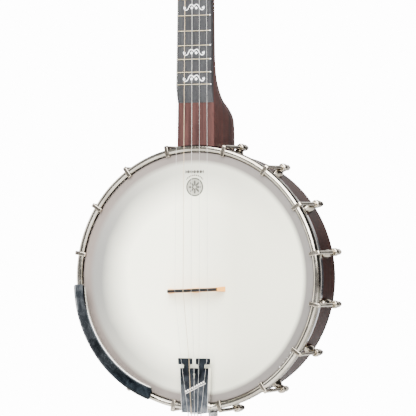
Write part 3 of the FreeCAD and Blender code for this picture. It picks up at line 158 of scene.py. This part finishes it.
# ---- studio ---------------------------------------------------------------------------------------
ROOM_FRONT = Vector((-0.25, -0.95, 0.2)).normalized()
ROOM_FRONT_TONE = (0.50, 0.51, 0.54)
ROOM_BACK_TONE = (0.07, 0.07, 0.075)
BACKGROUND_STRENGTH = 14.0
BACKDROP_TONE = (1.5, 1.48, 1.46)
BACKDROP_START, BACKDROP_FULL = 0.72, 0.82
BACKDROP_RIGHT_EDGE, BACKDROP_EDGE_SOFTNESS = 0.26, 0.06
FLOOR_DROP, FLOOR_BEHIND = 0.25, 0.4
FLOOR_HALF_WIDTH, FLOOR_HALF_DEPTH = 4.0, 2.6
# name, place in millimetres from the pot's middle, width and height in metres, radiance
SOFTBOXES = [("key", (440, -1760, 1210), 2.2, 2.2, 18.5),
             ("left", (-1900, -700, 500), 1.2, 1.8, 5.0),
             ("top", (300, -400, 2600), 1.6, 1.6, 8.0),
             ("low", (900, -1500, -1500), 1.2, 1.2, 4.0),
             ("right", (2000, -560, 300), 0.8, 1.6, 2.5)]


def make_floor():
    """Flat rectangle on the stage, below the part and running back behind it."""
    centre = Vector((POT.x, POT.y + FLOOR_BEHIND, CAD_BOX[0].z - FLOOR_DROP))
    corners = [centre + Vector((a * FLOOR_HALF_WIDTH, b * FLOOR_HALF_DEPTH, 0))
               for a, b in ((-1, -1), (1, -1), (1, 1), (-1, 1))]
    mesh = bpy.data.meshes.new("floor")
    mesh.from_pydata(corners, [], [(0, 1, 2, 3)])
    floor = bpy.data.objects.new("floor", mesh)
    bpy.context.scene.collection.objects.link(floor)
    floor.data.materials.append(floor_paper())


def area_light(name, centre, width, height, radiance):
    """Rectangular lamp of even radiance, turned to the middle of the pot."""
    data = bpy.data.lights.new(name, "AREA")
    data.shape = "RECTANGLE"
    data.size, data.size_y = width, height
    data.energy = radiance * math.pi * width * height
    light = bpy.data.objects.new(name, data)
    light.location = centre
    light.rotation_euler = (POT - centre).to_track_quat("-Z", "Y").to_euler()
    bpy.context.scene.collection.objects.link(light)


def make_world():
    """White surroundings for the camera; light and reflections come from a dim room, paler in front,
    with a bright backdrop behind the part that ends a little to its right."""
    world = bpy.data.worlds.new("studio")
    bpy.context.scene.world = world
    world.use_nodes = True
    nodes = Nodes(world.node_tree)
    room = nodes.tree.nodes["Background"]
    room.inputs["Strength"].default_value = 1.0
    direction = nodes.tree.nodes.new("ShaderNodeTexCoord").outputs["Generated"]
    facing = nodes.tree.nodes.new("ShaderNodeVectorMath")
    facing.operation = "DOT_PRODUCT"
    facing.inputs[1].default_value = ROOM_FRONT
    nodes.feed(facing.inputs[0], direction)
    walls = nodes.ramp(facing.outputs["Value"], (0.0, ROOM_BACK_TONE), (1.0, ROOM_FRONT_TONE))
    x, y, _ = nodes.parts(direction)
    left_of_edge = nodes.span(x, BACKDROP_RIGHT_EDGE - BACKDROP_EDGE_SOFTNESS,
                              BACKDROP_RIGHT_EDGE + BACKDROP_EDGE_SOFTNESS, 1.0, 0.0)
    behind = nodes.math("MULTIPLY", nodes.span(y, BACKDROP_START, BACKDROP_FULL), left_of_edge)
    nodes.feed(room.inputs["Color"], nodes.mix(behind, walls, BACKDROP_TONE))
    white = nodes.tree.nodes.new("ShaderNodeBackground")
    white.inputs["Color"].default_value = (1, 1, 1, 1)
    white.inputs["Strength"].default_value = BACKGROUND_STRENGTH
    ray = nodes.tree.nodes.new("ShaderNodeLightPath")
    choice = nodes.tree.nodes.new("ShaderNodeMixShader")
    nodes.feed(choice.inputs["Fac"], ray.outputs["Is Camera Ray"])
    nodes.feed(choice.inputs[1], room.outputs["Background"])
    nodes.feed(choice.inputs[2], white.outputs["Background"])
    nodes.feed(nodes.tree.nodes["World Output"].inputs["Surface"], choice.outputs["Shader"])


def make_studio():
    make_world()
    make_floor()
    for name, place, width, height, radiance in SOFTBOXES:
        area_light(name, pot_point(*place), width, height, radiance)


# ---- node helpers -----------------------------------------------------------------------------------
class Nodes:
    """The few node moves that the world and the finishes share."""

    def __init__(self, tree):
        self.tree = tree

    def feed(self, socket, value):
        if isinstance(value, bpy.types.NodeSocket):
            self.tree.links.new(value, socket)
        else:
            socket.default_value = value

    def math(self, operation, *values):
        node = self.tree.nodes.new("ShaderNodeMath")
        node.operation = operation
        for socket, value in zip(node.inputs, values):
            self.feed(socket, value)
        return node.outputs["Value"]

    def square(self, value):
        return self.math("MULTIPLY", value, value)

    def length(self, a, b):
        """Distance from the origin of a point with coordinates a and b."""
        return self.math("SQRT", self.math("ADD", self.square(a), self.square(b)))

    def ramp(self, factor, *stops):
        """Colour ramp through (position, colour) stops."""
        node = self.tree.nodes.new("ShaderNodeValToRGB")
        elements = node.color_ramp.elements
        while len(elements) < len(stops):
            elements.new(0.5)
        for element, (position, colour) in zip(elements, stops):
            element.position = position
            element.color = (*colour, 1)
        self.feed(node.inputs["Fac"], factor)
        return node.outputs["Color"]

    def mix(self, factor, a, b):
        node = self.tree.nodes.new("ShaderNodeMix")
        node.data_type = "RGBA"
        self.feed(node.inputs[0], factor)
        self.feed(node.inputs[6], a if isinstance(a, bpy.types.NodeSocket) else (*a, 1))
        self.feed(node.inputs[7], b if isinstance(b, bpy.types.NodeSocket) else (*b, 1))
        return node.outputs[2]

    def span(self, value, low, high, to_low=0.0, to_high=1.0):
        """value's run from low to high, spread over to_low to to_high and held there beyond."""
        node = self.tree.nodes.new("ShaderNodeMapRange")
        node.inputs["From Min"].default_value = low
        node.inputs["From Max"].default_value = high
        node.inputs["To Min"].default_value = to_low
        node.inputs["To Max"].default_value = to_high
        self.feed(node.inputs["Value"], value)
        return node.outputs["Result"]

    def parts(self, vector):
        node = self.tree.nodes.new("ShaderNodeSeparateXYZ")
        self.feed(node.inputs[0], vector)
        return node.outputs["X"], node.outputs["Y"], node.outputs["Z"]


class Finish(Nodes):
    """A principled material, worked out from places on the part."""

    def __init__(self, name):
        self.material = bpy.data.materials.new(name)
        self.material.use_nodes = True
        super().__init__(self.material.node_tree)
        self.shader = self.tree.nodes["Principled BSDF"]
        self.place = self.tree.nodes.new("ShaderNodeTexCoord").outputs["Object"]

    def set(self, **values):
        for name, value in values.items():
            self.shader.inputs[name.replace("_", " ")].default_value = value
        return self

    def grain(self, x, y, z, detail=3.0, roughness=0.5, distortion=0.0, place=None):
        """Noise with its own number of cycles per metre along each axis."""
        stretch = self.tree.nodes.new("ShaderNodeMapping")
        stretch.inputs["Scale"].default_value = (x, y, z)
        self.feed(stretch.inputs["Vector"], place or self.place)
        node = self.tree.nodes.new("ShaderNodeTexNoise")
        self.feed(node.inputs["Vector"], stretch.outputs["Vector"])
        node.inputs["Scale"].default_value = 1.0
        node.inputs["Detail"].default_value = detail
        node.inputs["Roughness"].default_value = roughness
        node.inputs["Distortion"].default_value = distortion
        return node.outputs["Fac"]

    def from_point(self, point):
        """(across, up) from a point of the frame, in metres."""
        x, _, z = self.parts(self.place)
        return self.math("SUBTRACT", x, point.x), self.math("SUBTRACT", z, point.z)

    def ring_place(self, centre=POT):
        """(radius, angle) round an axis along Y through centre, in metres and radians."""
        across, up = self.from_point(centre)
        return self.length(across, up), self.math("ARCTAN2", up, across)

    def joined(self, x, y, z):
        node = self.tree.nodes.new("ShaderNodeCombineXYZ")
        for socket, value in zip(node.inputs, (x, y, z)):
            self.feed(socket, value)
        return node.outputs["Vector"]

    def front_share(self, low, high):
        """1 where the surface faces the head's side squarely, 0 where it has turned well away."""
        coordinates = self.tree.nodes.new("ShaderNodeTexCoord")
        _, y, _ = self.parts(coordinates.outputs["Normal"])
        return self.span(self.math("ABSOLUTE", y), low, high)

    def near_line(self, value, middle_value, half_width):
        """1 where value lies within half_width of middle_value."""
        away = self.math("ABSOLUTE", self.math("SUBTRACT", value, middle_value))
        return self.span(away, half_width, half_width + LINE_SOFTNESS, 1.0, 0.0)

    def within(self, value, limit):
        return self.math("LESS_THAN", self.math("ABSOLUTE", value), limit)

    def dot_row(self, along, off, step, size, half_length):
        """Round dots of radius size, one each step along the line off = 0, out to half_length."""
        distance = self.length(self.math("WRAP", along, step / 2, -step / 2), off)
        dots = self.span(distance, size * 0.9, size * 1.1, 1.0, 0.0)
        return self.math("MULTIPLY", dots, self.within(along, half_length))

    def colour(self, value):
        self.feed(self.shader.inputs["Base Color"], value)
        return self

    def rough(self, noise, smoothest, roughest):
        """Roughness that follows a noise."""
        spread = self.span(noise, NOISE_LOW, NOISE_HIGH, smoothest, roughest)
        self.feed(self.shader.inputs["Roughness"], spread)
        return self

    def bump(self, height, distance, strength=1.0):
        node = self.tree.nodes.new("ShaderNodeBump")
        node.inputs["Distance"].default_value = distance
        node.inputs["Strength"].default_value = strength
        self.feed(node.inputs["Height"], height)
        self.feed(self.shader.inputs["Normal"], node.outputs["Normal"])
        return self


# ---- finishes: metals -------------------------------------------------------------------------------
def polished_metal(name, colour, shade, roughness, wear=0.08):
    """Plated metal: soft tone changes, a haze that varies, and fine polishing marks."""
    finish = Finish(name)
    tone = finish.grain(55, 55, 55, detail=2.0)
    finish.colour(finish.mix(finish.span(tone, CLOUD_LOW, CLOUD_HIGH), colour, shade))
    finish.rough(finish.grain(220, 220, 220, detail=4.0), roughness, roughness + wear)
    finish.bump(finish.grain(900, 900, 5200, detail=2.0), FINE_RELIEF, POLISHING_MARKS)
    return finish.set(Metallic=1.0).material


def hoop_nickel(colour, shade):
    """Nickel of the tension hoop, whose front and outer side both shine as if slightly rounded, with two
    painted shade lines round it.
    """
    finish = Finish("hoop_nickel")
    radius, _ = finish.ring_place()
    _, y, _ = finish.parts(finish.place)
    low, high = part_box("tension_hoop")
    front = finish.math("SUBTRACT", radius, (high.x - low.x) / 2 - HOOP_WIDTH / 2)
    side = finish.math("SUBTRACT", y, (low.y + high.y) / 2)
    crown = finish.math("MULTIPLY", finish.square(front), -1 / (2 * HOOP_FRONT_CROWN_R))
    belly = finish.math("MULTIPLY", finish.square(side), -1 / (2 * HOOP_SIDE_CROWN_R))
    tone = finish.grain(35, 35, 35, detail=2.0)
    metal = finish.mix(finish.span(tone, CLOUD_LOW, CLOUD_HIGH), colour, shade)
    # Painted shade lines round the hoop.
    metal = finish.mix(finish.near_line(side, FRONT_SHADE_LINE, FRONT_SHADE_LINE_HALF_WIDTH), metal, SHADE_LINE_TONE)
    finish.colour(finish.mix(finish.near_line(side, BACK_SHADE_LINE, BACK_SHADE_LINE_HALF_WIDTH), metal, SHADE_LINE_TONE))
    finish.rough(finish.grain(160, 160, 160), 0.10, 0.17)
    finish.bump(finish.math("ADD", crown, belly), 1.0)
    return finish.set(Metallic=1.0).material


def fret_wire():
    """Nickel silver fret with a painted highlight along its crest, a painted glint at its filed treble end
    and painted shade on its flanks.
    """
    finish = Finish("fret_wire")
    x, _, z = finish.parts(finish.place)
    low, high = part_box("frets")
    edge = finish.math("MULTIPLY_ADD", finish.math("SUBTRACT", z, low.z), FRET_END_SLOPE, high.x)
    # Painted glint at the treble end.
    end_glint = finish.span(finish.math("SUBTRACT", edge, x), END_GLINT_LENGTH, END_GLINT_FADE, 1.0, 0.0)
    wear = finish.grain(300, 900, 900, detail=2.0)
    # Painted shade on the flanks and a painted highlight along the crest.
    flank = finish.ramp(wear, (NOISE_LOW, (0.045, 0.040, 0.032)), (NOISE_HIGH, (0.085, 0.075, 0.060)))
    metal = finish.mix(finish.front_share(0.93, 0.985), flank, (0.80, 0.68, 0.46))
    finish.colour(finish.mix(end_glint, metal, (0.98, 0.97, 0.95)))
    return finish.rough(wear, 0.28, 0.4).set(Metallic=0.8).material


def painted_reflection(finish, low, high):
    """Painted reflection: cloudy blue-grey tones of a dark room mirrored in chrome."""
    cloud = finish.grain(70, 70, 45, distortion=1.2)
    return finish.mix(finish.span(cloud, 0.38, 0.66), low, high)


def smooth_chrome(finish):
    return finish.rough(finish.grain(220, 220, 220, detail=4.0), 0.07, 0.14)


def tail_chrome():
    """Chrome with a painted reflection, dark on the flat front towards the bridge and paler lower down, a
    painted highlight on its edges, and a bead row.
    """
    finish = smooth_chrome(Finish("tailpiece_chrome"))
    _, _, z = finish.parts(finish.place)
    low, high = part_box("tailpiece")
    falling = finish.span(z, high.z - TAIL_DARK_DEPTH, low.z + TAIL_PALE_RISE)
    dark = painted_reflection(finish, (0.022, 0.027, 0.033), (0.12, 0.14, 0.16))
    pale = painted_reflection(finish, (0.28, 0.31, 0.34), (0.80, 0.82, 0.83))
    # Painted highlight on the edges, painted reflection on the front.
    shade = finish.mix(finish.front_share(0.90, 0.985), TAIL_EDGE_HIGHLIGHT, finish.mix(falling, dark, pale))
    beads = bead_row(finish)
    finish.feed(finish.shader.inputs["Metallic"], finish.span(beads, 0.0, 1.0, 1.0, BEAD_METAL_SHARE))
    return finish.colour(finish.mix(beads, shade, BEAD_TONE)).material


def bead_row(finish):
    """Slanting row of beads over a thin line, engraved across the tailpiece."""
    across, up = finish.from_point(BEAD_MIDDLE)
    run, rise = math.cos(BEAD_SLANT), math.sin(BEAD_SLANT)
    along = finish.math("ADD", finish.math("MULTIPLY", across, run), finish.math("MULTIPLY", up, rise))
    off = finish.math("SUBTRACT", finish.math("MULTIPLY", up, run), finish.math("MULTIPLY", across, rise))
    beads = finish.dot_row(along, off, BEAD_STEP, BEAD_R, BEAD_HALF_LENGTH)
    line = finish.near_line(off, -BEAD_LINE_DROP, BEAD_LINE_HALF_WIDTH)
    line = finish.math("MULTIPLY", finish.within(along, BEAD_HALF_LENGTH), line)
    return finish.math("MAXIMUM", beads, line)


def armrest_chrome():
    """Chrome with a painted reflection that darkens down the strip, painted shade on its slopes and a
    painted highlight along its inner lip.
    """
    finish = smooth_chrome(Finish("armrest_chrome"))
    radius, _ = finish.ring_place(ARM_CENTRE)
    _, _, z = finish.parts(finish.place)
    low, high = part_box("armrest")
    # Painted reflection, paler at the top of the strip and darker lower down.
    falling = finish.math("SQRT", finish.span(z, high.z, low.z + ARM_DARK_RISE))
    upper = painted_reflection(finish, (0.19, 0.22, 0.24), (0.66, 0.69, 0.70))
    lower = painted_reflection(finish, (0.005, 0.007, 0.010), (0.034, 0.045, 0.054))
    # Painted shade on the slopes beside the flat.
    flat = finish.math("MULTIPLY", finish.span(radius, ARM_INNER_SLOPE_R, ARM_FLAT_R),
                       finish.span(radius, ARM_OUTER_SLOPE_R, ARM_FLAT_END_R))
    band = finish.mix(flat, ARM_SLOPE_SHADE, finish.mix(falling, upper, lower))
    # Painted highlight along the inner lip.
    lip = finish.span(radius, ARM_LIP_R, ARM_LIP_END_R, 1.0, 0.0)
    return finish.colour(finish.mix(lip, band, ARM_LIP_HIGHLIGHT)).set(Metallic=1.0).material


def wound_wire():
    """Bronze winding: fine turns across the string."""
    finish = Finish("wound_wire")
    turns = finish.tree.nodes.new("ShaderNodeTexWave")
    turns.bands_direction = "Z"
    turns.inputs["Scale"].default_value = WIRE_TURNS
    finish.feed(turns.inputs["Vector"], finish.place)
    tone = turns.outputs["Fac"]
    finish.colour(finish.mix(tone, (0.34, 0.25, 0.15), (0.78, 0.62, 0.42)))
    finish.bump(tone, 0.05 * MM, 0.6)
    return finish.set(Metallic=1.0, Roughness=0.32).material


# ---- finishes: woods ----------------------------------------------------------------------------------
def lacquered_wood(name, dark, light, along, ring=False, coat=0.1, shine=0.15):
    """Open-pored brown wood with long streaks and short dark pores along the grain."""
    finish = Finish(name)
    place = finish.place
    if ring:
        radius, angle = finish.ring_place()
        _, y, _ = finish.parts(place)
        place = finish.joined(radius, y, finish.math("MULTIPLY", angle, RIM_R))
    streaks = finish.grain(150, 150, 150 * along, detail=5.0, distortion=0.6, place=place)
    bands = finish.grain(38, 38, 38 * along, detail=2.0, place=place)
    pores = finish.grain(1500, 1500, 70, detail=2.0, roughness=0.6, place=place)
    tone = finish.math("ADD", finish.math("MULTIPLY", streaks, 0.65), finish.math("MULTIPLY", bands, 0.35))
    body = finish.ramp(tone, (0.34, dark), (0.66, light))
    pore = finish.span(pores, 0.60, 0.74)
    finish.colour(finish.mix(pore, body, tuple(c * 0.45 for c in dark)))
    finish.rough(streaks, 0.45, 0.55)
    finish.bump(finish.math("SUBTRACT", 1.0, pore), 0.06 * MM, 0.4)
    return finish.set(Coat_Weight=coat, Coat_Roughness=0.12, Specular_IOR_Level=shine).material


def ebony_wood(name, dark, light):
    """Close dark wood: fine fibres, cloudy patches and a few paler flecks."""
    finish = Finish(name)
    fibres = finish.grain(900, 900, 26, detail=4.0, roughness=0.65)
    patches = finish.grain(60, 60, 14)
    flecks = finish.grain(2200, 2200, 160, detail=1.0)
    tone = finish.math("ADD", finish.math("MULTIPLY", fibres, 0.6), finish.math("MULTIPLY", patches, 0.4))
    body = finish.ramp(tone, (0.36, dark), (0.62, light))
    finish.colour(finish.mix(finish.span(flecks, 0.62, 0.76), body, tuple(c * 1.7 for c in light)))
    finish.rough(fibres, 0.42, 0.58)
    finish.bump(fibres, 0.05 * MM, 0.5)
    return finish.set(Specular_IOR_Level=0.2).material


def maple_wood():
    finish = Finish("maple_wood")
    fibres = finish.grain(60, 900, 900, detail=4.0)
    finish.colour(finish.ramp(fibres, (CLOUD_LOW, (0.74, 0.29, 0.034)), (CLOUD_HIGH, (0.90, 0.39, 0.058))))
    finish.rough(fibres, 0.4, 0.55)
    return finish.bump(fibres, 0.03 * MM, 0.4).material


# ---- finishes: film, shell, bone and paper ----------------------------------------------------------
def rosette(finish):
    """Plain printed ornament on the head: a ringed eight-leaved flower under two short rows of dots."""
    across, up = finish.from_point(ROSETTE_PLACE)
    radius, angle = finish.ring_place(ROSETTE_PLACE)
    petal = finish.math("ABSOLUTE", finish.math("COSINE", finish.math("MULTIPLY", angle, LEAF_COUNT / 2)))
    leaf = finish.math("MULTIPLY_ADD", petal, LEAF_LENGTH, LEAF_ROOT)
    flower = finish.span(finish.math("SUBTRACT", radius, leaf), -0.3 * MM, 0.1 * MM, 1.0, 0.0)
    flower = finish.math("MULTIPLY", flower, finish.math("GREATER_THAN", radius, EYE_R))
    from_top = finish.math("ABSOLUTE", finish.math("SUBTRACT", angle, math.pi / 2))
    arc_along = finish.math("MULTIPLY", from_top, ARC_R)
    arc_off = finish.math("SUBTRACT", radius, ARC_R)
    row_off = finish.math("SUBTRACT", up, ROW_RISE)
    ink = flower
    for figure in (finish.near_line(radius, RING_R, RING_HALF_WIDTH),
                   finish.span(radius, FIELD_R, RING_R, FIELD_INK, 0.0),
                   finish.dot_row(arc_along, arc_off, ARC_STEP, ARC_DOT_R, ARC_HALF_LENGTH),
                   finish.dot_row(across, row_off, ROW_STEP, ROW_DOT_R, ROW_HALF_LENGTH)):
        ink = finish.math("MAXIMUM", ink, figure)
    return ink


def drum_film():
    """Frosted film, pale in the open middle, with painted light that is lighter to the left and dimmer to
    the right, painted shade towards one side, a painted shadow of the rim where the film lies over it and
    a painted shadow line against the hoop.
    """
    finish = Finish("drum_film")
    radius, angle = finish.ring_place()
    from_worn = finish.math("COSINE", finish.math("SUBTRACT", angle, SIDE_SHADE_ANGLE))
    shaded_side = finish.math("MULTIPLY_ADD", from_worn, 0.5, 0.5)
    cloud = finish.grain(14, 14, 14)
    fine = finish.grain(1400, 1400, 1400, detail=2.0)
    across, _ = finish.from_point(POT)
    # Painted light across the open film: lighter to the left, dimmer to the right.
    open_part = finish.mix(finish.span(across, FILM_LIT_X, FILM_SHADED_X), FILM_LIT, FILM_SHADED)
    # Painted shade towards the edge on one side of the film.
    wobble = finish.math("MULTIPLY_ADD", cloud, SIDE_SHADE_WOBBLE, -SIDE_SHADE_WOBBLE / 2)
    depth = finish.span(finish.math("ADD", radius, wobble), SIDE_SHADE_START_R, SIDE_SHADE_END_R)
    open_part = finish.mix(finish.math("MULTIPLY", depth, shaded_side), open_part, FILM_SIDE_SHADE)
    # Painted shadow of the rim where the film lies over it.
    rim_shadow = finish.mix(shaded_side, RIM_SHADOW, RIM_SHADOW_SHADED_SIDE)
    edge = finish.math("MULTIPLY_ADD", cloud, RIM_SHADOW_WOBBLE, radius)
    film = finish.mix(finish.span(edge, RIM_SHADOW_START_R, RIM_SHADOW_END_R), open_part, rim_shadow)
    # Painted shadow line where the film meets the hoop.
    film = finish.mix(finish.span(radius, HOOP_SHADOW_START_R, HOOP_SHADOW_END_R), film, HOOP_SHADOW_TONE)
    ink = finish.math("MULTIPLY", rosette(finish), finish.span(fine, 0.30, 0.55, 0.75, 1.0))
    finish.colour(finish.mix(ink, film, INK))
    finish.rough(fine, 0.42, 0.55)
    return finish.bump(fine, FINE_RELIEF, 0.5).material


def pearl_shell(name, low, high):
    finish = Finish(name)
    flakes = finish.grain(420, 420, 260, distortion=1.5)
    finish.colour(finish.ramp(flakes, (NOISE_LOW, low), (0.5, (0.86, 0.84, 0.86)), (NOISE_HIGH, high)))
    finish.rough(flakes, 0.12, 0.24)
    finish.bump(flakes, FINE_RELIEF, 0.3)
    return finish.set(Coat_Weight=0.5, Coat_Roughness=0.08).material


def polished_bone():
    finish = Finish("polished_bone")
    fibres = finish.grain(700, 300, 700)
    finish.colour(finish.ramp(fibres, (NOISE_LOW, (0.78, 0.72, 0.58)), (NOISE_HIGH, (0.90, 0.86, 0.76))))
    finish.rough(fibres, 0.25, 0.38)
    return finish.bump(fibres, FINE_RELIEF, 0.3).material


def floor_paper():
    finish = Finish("floor_paper")
    tone = finish.grain(40, 40, 40)
    finish.colour(finish.ramp(tone, (NOISE_LOW, (0.80, 0.80, 0.79)), (NOISE_HIGH, (0.83, 0.83, 0.82))))
    return finish.set(Roughness=0.9).material


# ---- dressing the frame -------------------------------------------------------------------------------
def dress(material, *names, sharp=SHARP_ANGLE):
    """Puts one material on CAD nodes and smooths their curved faces."""
    for name in names:
        thing = NODES[name]
        thing.data.materials.clear()
        thing.data.materials.append(material)
        smooth(thing, sharp)


def smooth(thing, sharp):
    """Smooth shading that keeps every edge sharper than the limit."""
    for stale in ("custom_normal", "sharp_face", "sharp_edge"):
        if stale in thing.data.attributes:
            thing.data.attributes.remove(thing.data.attributes[stale])
    weld = thing.modifiers.new("weld", "WELD")
    weld.merge_threshold = WELD_REACH
    split = thing.modifiers.new("split", "EDGE_SPLIT")
    split.split_angle = sharp
    split.use_edge_sharp = False


def dress_metals():
    nickel = polished_metal("nickel_plate", (0.52, 0.465, 0.38), (0.26, 0.225, 0.175), 0.12)
    chrome = polished_metal("chrome_plate", (0.88, 0.89, 0.91), (0.80, 0.81, 0.84), 0.06, 0.05)
    steel = polished_metal("drawn_steel", (0.66, 0.65, 0.63), (0.52, 0.51, 0.50), 0.24)
    brass = polished_metal("ring_brass", (0.80, 0.60, 0.30), (0.68, 0.50, 0.24), 0.2)
    string = polished_metal("string_wire", (0.66, 0.65, 0.62), (0.54, 0.53, 0.50), 0.34)
    tuners = [f"tuner_{piece}_{number}" for number in (1, 2, 3, 4) for piece in ("post", "shaft")]
    dress(nickel, "bracket_hooks", "bracket_shoes", "hook_nuts", "tuner_housings", "tuner_bushings",
          "fifth_peg_housing", "fifth_peg_post", "fifth_peg_shaft", *tuners)
    dress(chrome, "tailpiece_pins", "tailpiece_hanger", "armrest_legs", "tone_ring_sleeve")
    dress(steel, "shoe_bolts", "rod_nuts", "armrest_screws", "truss_cover_screws", "neck_lag_bolts",
          "end_bolt", "end_spacer", "coordinator_rod", "flesh_hoop", "truss_rod")
    dress(brass, "tone_ring_rod", "truss_rod_nut")
    dress(string, "string_1", "string_2", "string_3", "string_5")
    dress(wound_wire(), "string_4")
    dress(fret_wire(), "frets")
    dress(hoop_nickel((0.48, 0.445, 0.375), (0.29, 0.262, 0.215)), "tension_hoop")
    dress(armrest_chrome(), "armrest", sharp=SHEET_SHARP_ANGLE)
    dress(tail_chrome(), "tailpiece", "tailpiece_screw", sharp=SHEET_SHARP_ANGLE)


def dress_woods():
    rim_wood = lacquered_wood("rim_wood", (0.009, 0.0028, 0.0021), (0.026, 0.0084, 0.0062), 0.05,
                              ring=True, coat=0.16, shine=0.06)
    neck_wood = lacquered_wood("neck_wood", (0.018, 0.0062, 0.0051), (0.056, 0.0205, 0.0168), 0.05)
    ebony = ebony_wood("ebony_wood", (0.0088, 0.009, 0.0096), (0.030, 0.0305, 0.032))
    cap_ebony = ebony_wood("cap_ebony", (0.002, 0.002, 0.0021), (0.007, 0.0065, 0.006))
    dress(rim_wood, "rim")
    dress(neck_wood, "neck")
    dress(ebony, "fretboard", "peghead_overlay", "truss_rod_cover")
    dress(cap_ebony, "bridge_cap")
    dress(maple_wood(), "bridge_base")


def dress_film_shell_and_bone():
    knob_pearl = pearl_shell("knob_pearl", (0.70, 0.66, 0.56), (0.90, 0.88, 0.80))
    dress(drum_film(), "head")
    dress(pearl_shell("pearl_shell", (0.72, 0.76, 0.74), (0.95, 0.95, 0.93)), "fret_inlays", "side_dots")
    dress(knob_pearl, "tuner_knob_1", "tuner_knob_2", "tuner_knob_3", "tuner_knob_4", "fifth_peg_knob")
    dress(polished_bone(), "nut", "fifth_string_nut")


make_camera()
dress_metals()
dress_woods()
dress_film_shell_and_bone()
make_studio()
